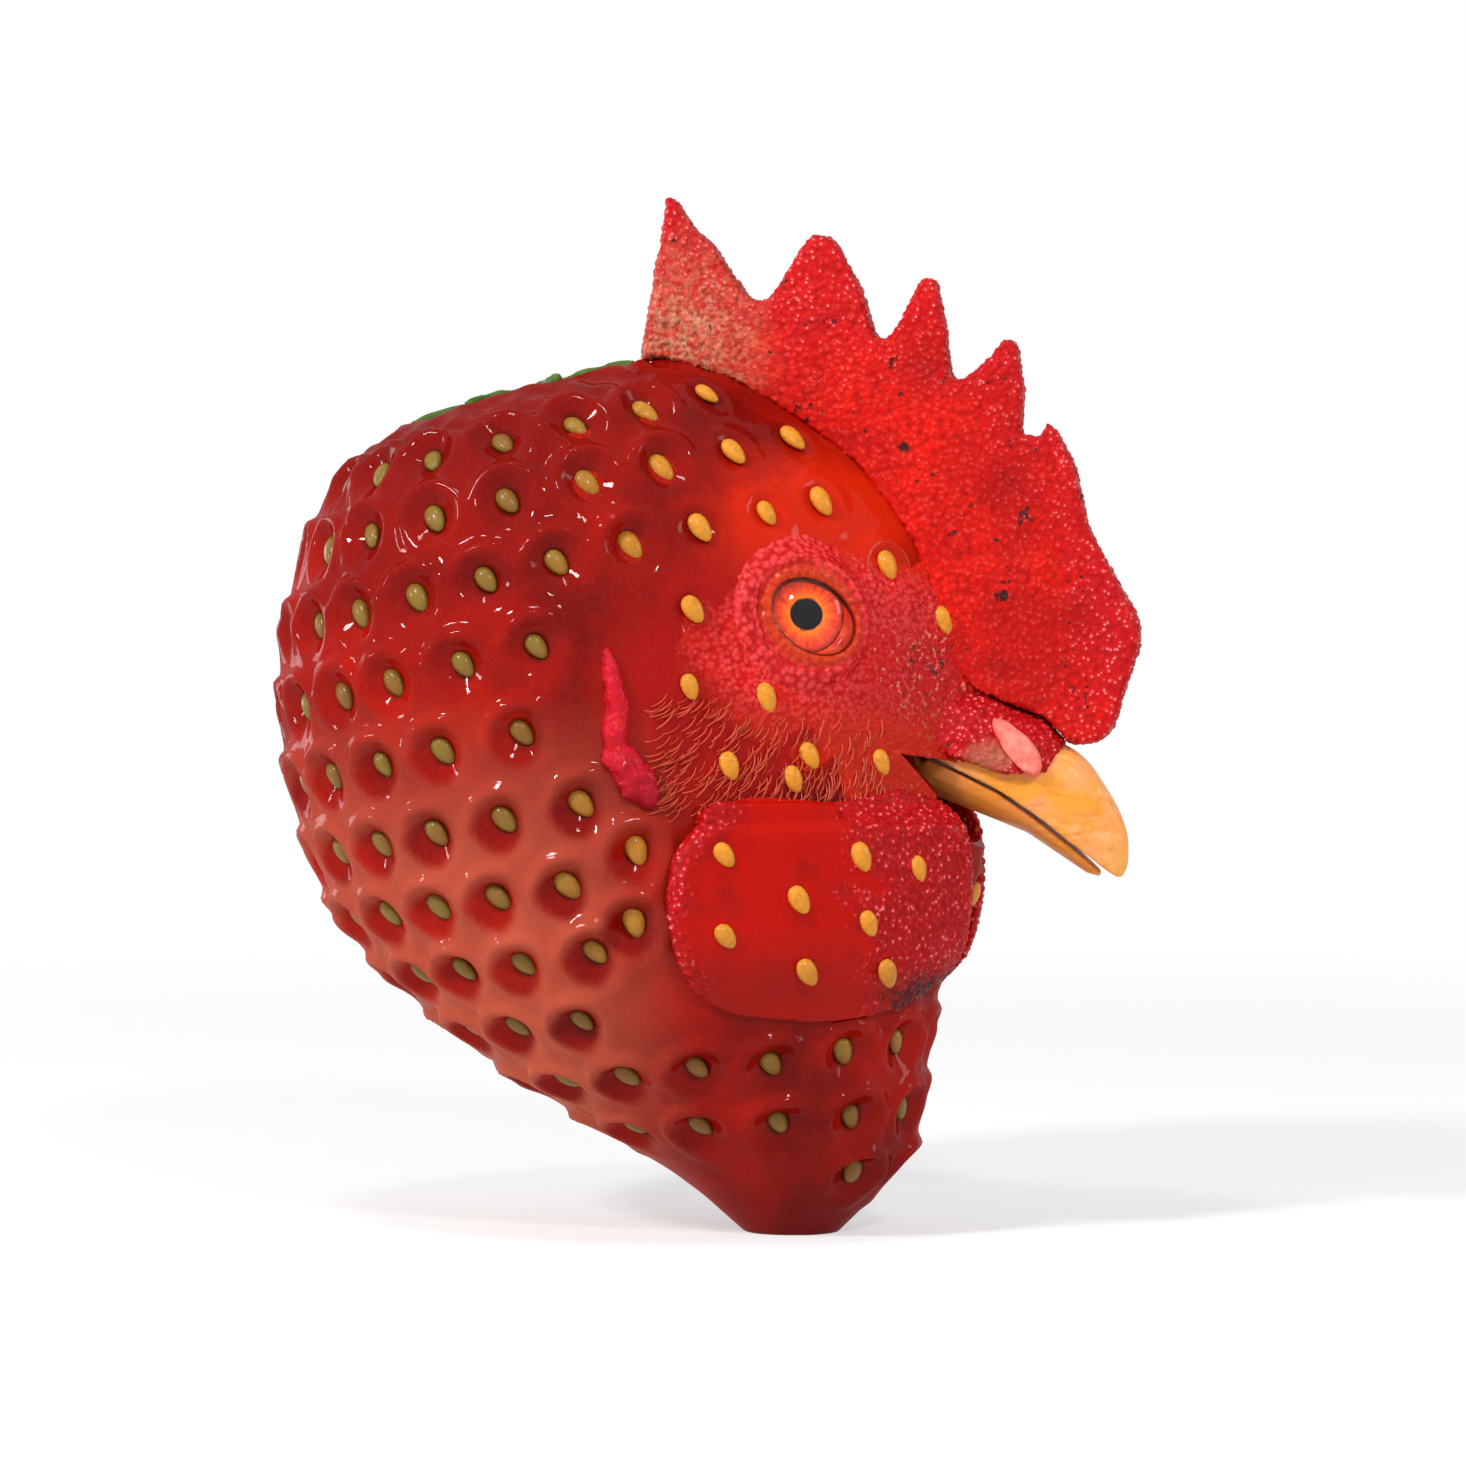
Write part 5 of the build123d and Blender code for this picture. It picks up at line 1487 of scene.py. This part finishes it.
def grain_share(flat):
    """1 on the granular rim and front of a wattle, 0 on its smooth middle; points in metres."""
    x, z = flat[:, 0] / MM, flat[:, 2] / MM
    loop = outline_loop(180)
    away = np.sqrt(((np.stack((x, z), 1)[:, None] - loop[None]) ** 2).sum(2).min(1))
    wander = clouds(flat, 5.0, 8.0) + 0.5 * clouds(flat, 1.8, 3.0)
    rim = (1 - step(2.4, 4.2, away + wander * 1.4)) * step(0.0, -6.0, x) * step(33.0, 38.0, z)
    front = step(10.0, 16.5, x + wander * 6.0 + 0.15 * (z - 47))
    return np.maximum(rim, front)


def fold(side, rows=60, columns=24):
    """The ear lobe: a winding ridge that rises from the skin."""
    table = with_ends(LOBE_FOLD)
    spots = [smooth_row(table, (len(LOBE_FOLD) - 1) * row / (rows - 1)) for row in range(rows)]
    places = [flank(x, z, side) for x, z, _, _ in spots]
    along = np.gradient(np.array([place for place, _ in places]), axis=0)
    points = []
    for (_, _, half, high), (place, out), way in zip(spots, places, along):
        across = np.cross(way, out)
        across /= np.linalg.norm(across)
        for turn in turns_of(columns):
            rise = high * max(sin(turn), 0) ** 0.8 + 0.9 * min(sin(turn), 0)
            points.append(place + (across * half * cos(turn) + out * rise) * MM)
    return closed_mesh("fold", points, tube_faces(rows, columns))


class RC_OT_wattles(bpy.types.Operator):
    """Wattles with granular rims, and the ridges of the ear lobes"""

    bl_idname = "rubber_chicken.wattles"
    bl_label = "Wattles and lobes"

    def execute(self, context):
        sizes, tints = context.scene.rc_sizes, context.scene.rc_tints
        skin, flesh = wattle_material(tints), lobe_material(tints)
        for side in SIDES:
            neck = neck_of(side)
            flap = reworked(wattle_flap(side, sizes), lambda work, neck=neck: work.from_mesh(neck))
            mesh = softened(flap, 0.3, 3)
            flat = points_of(mesh)
            grain = grain_share(flat)
            lift = clouds(flat, 7.0, 3.0) * 0.25 - 0.15
            lift += pebbles(flat, sizes.papilla) * sizes.papilla_height * (0.06 + 1.1 * grain)
            push_out(mesh, lift)
            set_share(mesh, "grain", grain)
            dress(f"wattle_flesh_{side}", mesh, skin, f"wattle_{side}", "face_flesh", f"wattle_{side}")
            mesh = softened(fold(side), 0.28, 3)
            flat = points_of(mesh)
            push_out(mesh, clouds(flat, 2.2) * 0.8 + pebbles(flat, 1.0) * 0.35 - 0.2)
            dress(f"ear_flesh_{side}", mesh, flesh, "skin", "face_flesh", f"ear_lobe_{side}")
        return {"FINISHED"}


# ---- calyx and what is inside ----
def paint(material, *nodes):
    """Gives CAD nodes that stay a finish."""
    for node in nodes:
        made = frame["nodes"][node]
        if made.material_slots:
            for slot in made.material_slots:
                slot.material = material
        else:
            made.data.materials.append(material)


class RC_OT_calyx(bpy.types.Operator):
    """The green calyx, and finishes of the squeaker and of what is inside"""

    bl_idname = "rubber_chicken.calyx"
    bl_label = "Calyx and squeaker"

    def execute(self, context):
        tints = context.scene.rc_tints
        green = plain_material("leaf", tints.leaf, 2.5, 0.3, LEAF_PALE, rough=0.5, gloss=0.1)
        mesh = softened(merged_copy("calyx"), 0.4, 4)
        push_out(mesh, 0.1 + clouds(points_of(mesh), 3.0) * 0.6)
        dress("calyx_leaves", mesh, green, "skin", "calyx", "calyx")
        white = plain_material("white_plastic", PLASTIC, 4.0, 0.02, rough=0.4)
        paint(white, "squeaker_housing", "reed_seat", "reed", "reed_wedge")
        paint(white, "eye_washer_right", "eye_washer_left")
        dark = plain_material("eye_black", EYE_BLACK, 2.0, 0.02, rough=0.3)
        paint(dark, "eye_cup_right", "eye_cup_left")
        paint(plain_material("pin_red", PIN_RED, 1.0, 0.01, rough=0.5, gloss=0.1), "hinge_pin")
        return {"FINISHED"}


# ---- stage ----
class RC_OT_stage(bpy.types.Operator):
    """Floor, backdrop, lamps and camera"""

    bl_idname = "rubber_chicken.stage"
    bl_label = "Stage"

    def execute(self, context):
        scene = context.scene
        scene.view_settings.view_transform = "Standard"
        middle = Vector(VIEW_MIDDLE) * MM
        flat = cos(VIEW_ELEVATION)
        back = Vector((sin(VIEW_AZIMUTH) * flat, -cos(VIEW_AZIMUTH) * flat, sin(VIEW_ELEVATION)))
        camera = bpy.data.cameras.new("camera")
        camera.lens, camera.sensor_width = LENS, SENSOR
        camera.clip_start, camera.clip_end = 0.01, 20
        scene.camera = aimed(camera, middle + back * VIEW_WIDTH * MM * LENS / SENSOR, middle)
        floor = new_object("floor", sweep(CAD_BOX[0].z))
        floor.data.materials.append(stage_material())
        for name, place, power, size in LAMPS:
            lamp = bpy.data.lights.new(name, "AREA")
            lamp.energy, lamp.size = power, size
            aimed(lamp, Vector(place), middle)
        make_world(scene)
        return {"FINISHED"}


def aimed(data, place, target):
    """A lamp or camera at a place, pointed at a target."""
    made = new_object(data.name, data)
    made.location = place
    made.rotation_mode = "QUATERNION"
    made.rotation_quaternion = (target - place).to_track_quat("-Z", "Y")
    return made


def sweep(level):
    """A floor that curves up into a backdrop, in metres."""
    near, far, bend, high, wide = -3.0, 0.8, 0.6, 3.0, 4.0
    line = [(near, level), (0.0, level)]
    turns = np.linspace(0, pi / 2, 13)
    line += [(far + bend * sin(turn), level + bend * (1 - cos(turn))) for turn in turns]
    line.append((far + bend, high))
    points = [(x, y, z) for y, z in line for x in (-wide, wide)]
    faces = [(2 * row, 2 * row + 1, 2 * row + 3, 2 * row + 2) for row in range(len(line) - 1)]
    return new_mesh("floor", points, faces)


def seen_share(tree):
    """1 where the camera, a gloss or a clear part looks straight at the stage."""
    path = add_node(tree, "ShaderNodeLightPath").outputs
    seen = math_value(tree, "MAXIMUM", path["Is Camera Ray"], path["Is Glossy Ray"])
    return math_value(tree, "MAXIMUM", seen, path["Is Transmission Ray"])


def stage_material():
    """White to the eye: half glow and half paint near the toy, for its shadow, all glow further off."""
    s = Shade("pale_floor")
    s.tree.nodes.remove(s.shader)
    far = s.fade(s.blob((0, 0, 0), (600.0, 600.0, None)), 0.35, 1.0, smooth=True)
    glow = s.node("ShaderNodeEmission", {"Color": (1, 1, 1, 1), "Strength": s.fade(far, 0, 1, 0.5, 1.0)})
    coat = s.node("ShaderNodeBsdfDiffuse", {"Color": s.fade(far, 0, 1, 0.5, 0.0)})
    shown = s.node("ShaderNodeAddShader", {0: glow.outputs[0], 1: coat.outputs[0]})
    plain = s.node("ShaderNodeBsdfDiffuse", {"Color": (0.8, 0.8, 0.8, 1)})
    inputs = {0: seen_share(s.tree), 1: plain.outputs[0], 2: shown.outputs[0]}
    return s.shown_by(s.node("ShaderNodeMixShader", inputs))


def make_world(scene):
    """Plain soft light all round, white where it is seen."""
    scene.world = bpy.data.worlds.new("studio")
    scene.world.use_nodes = True
    tree = scene.world.node_tree
    soft = tree.nodes["Background"]
    soft.inputs["Color"].default_value = (1, 1, 1, 1)
    soft.inputs["Strength"].default_value = WORLD_STRENGTH
    white = add_node(tree, "ShaderNodeBackground", {"Color": (1, 1, 1, 1), "Strength": 1.0}).outputs[0]
    blend = add_node(tree, "ShaderNodeMixShader", {0: seen_share(tree), 1: soft.outputs[0], 2: white})
    tree.links.new(blend.outputs[0], tree.nodes["World Output"].inputs[0])


# ---- panel and registering ----
OPERATORS = (
    RC_OT_skin,
    RC_OT_face,
    RC_OT_seeds,
    RC_OT_comb,
    RC_OT_eyes,
    RC_OT_beak,
    RC_OT_wattles,
    RC_OT_calyx,
    RC_OT_stage,
)


class RC_PT_panel(bpy.types.Panel):
    """Lists the toy's pieces"""

    bl_idname = "RC_PT_panel"
    bl_label = "Rubber Chicken"
    bl_space_type = "VIEW_3D"
    bl_region_type = "UI"
    bl_category = "Rubber Chicken"

    def draw(self, context):
        for operator in OPERATORS:
            self.layout.operator(operator.bl_idname)
        for group in (context.scene.rc_sizes, context.scene.rc_tints):
            for name in group.__annotations__:
                self.layout.prop(group, name)


CLASSES = (ToyTints, ToySizes, *OPERATORS, RC_PT_panel)


def register():
    for made in CLASSES:
        bpy.utils.register_class(made)
    bpy.types.Scene.rc_tints = PointerProperty(type=ToyTints)
    bpy.types.Scene.rc_sizes = PointerProperty(type=ToySizes)


def unregister():
    del bpy.types.Scene.rc_sizes
    del bpy.types.Scene.rc_tints
    for made in reversed(CLASSES):
        bpy.utils.unregister_class(made)


def main():
    register()
    for operator in OPERATORS:
        group, name = operator.bl_idname.split(".")
        getattr(getattr(bpy.ops, group), name)()


if __name__ == "__main__":
    main()
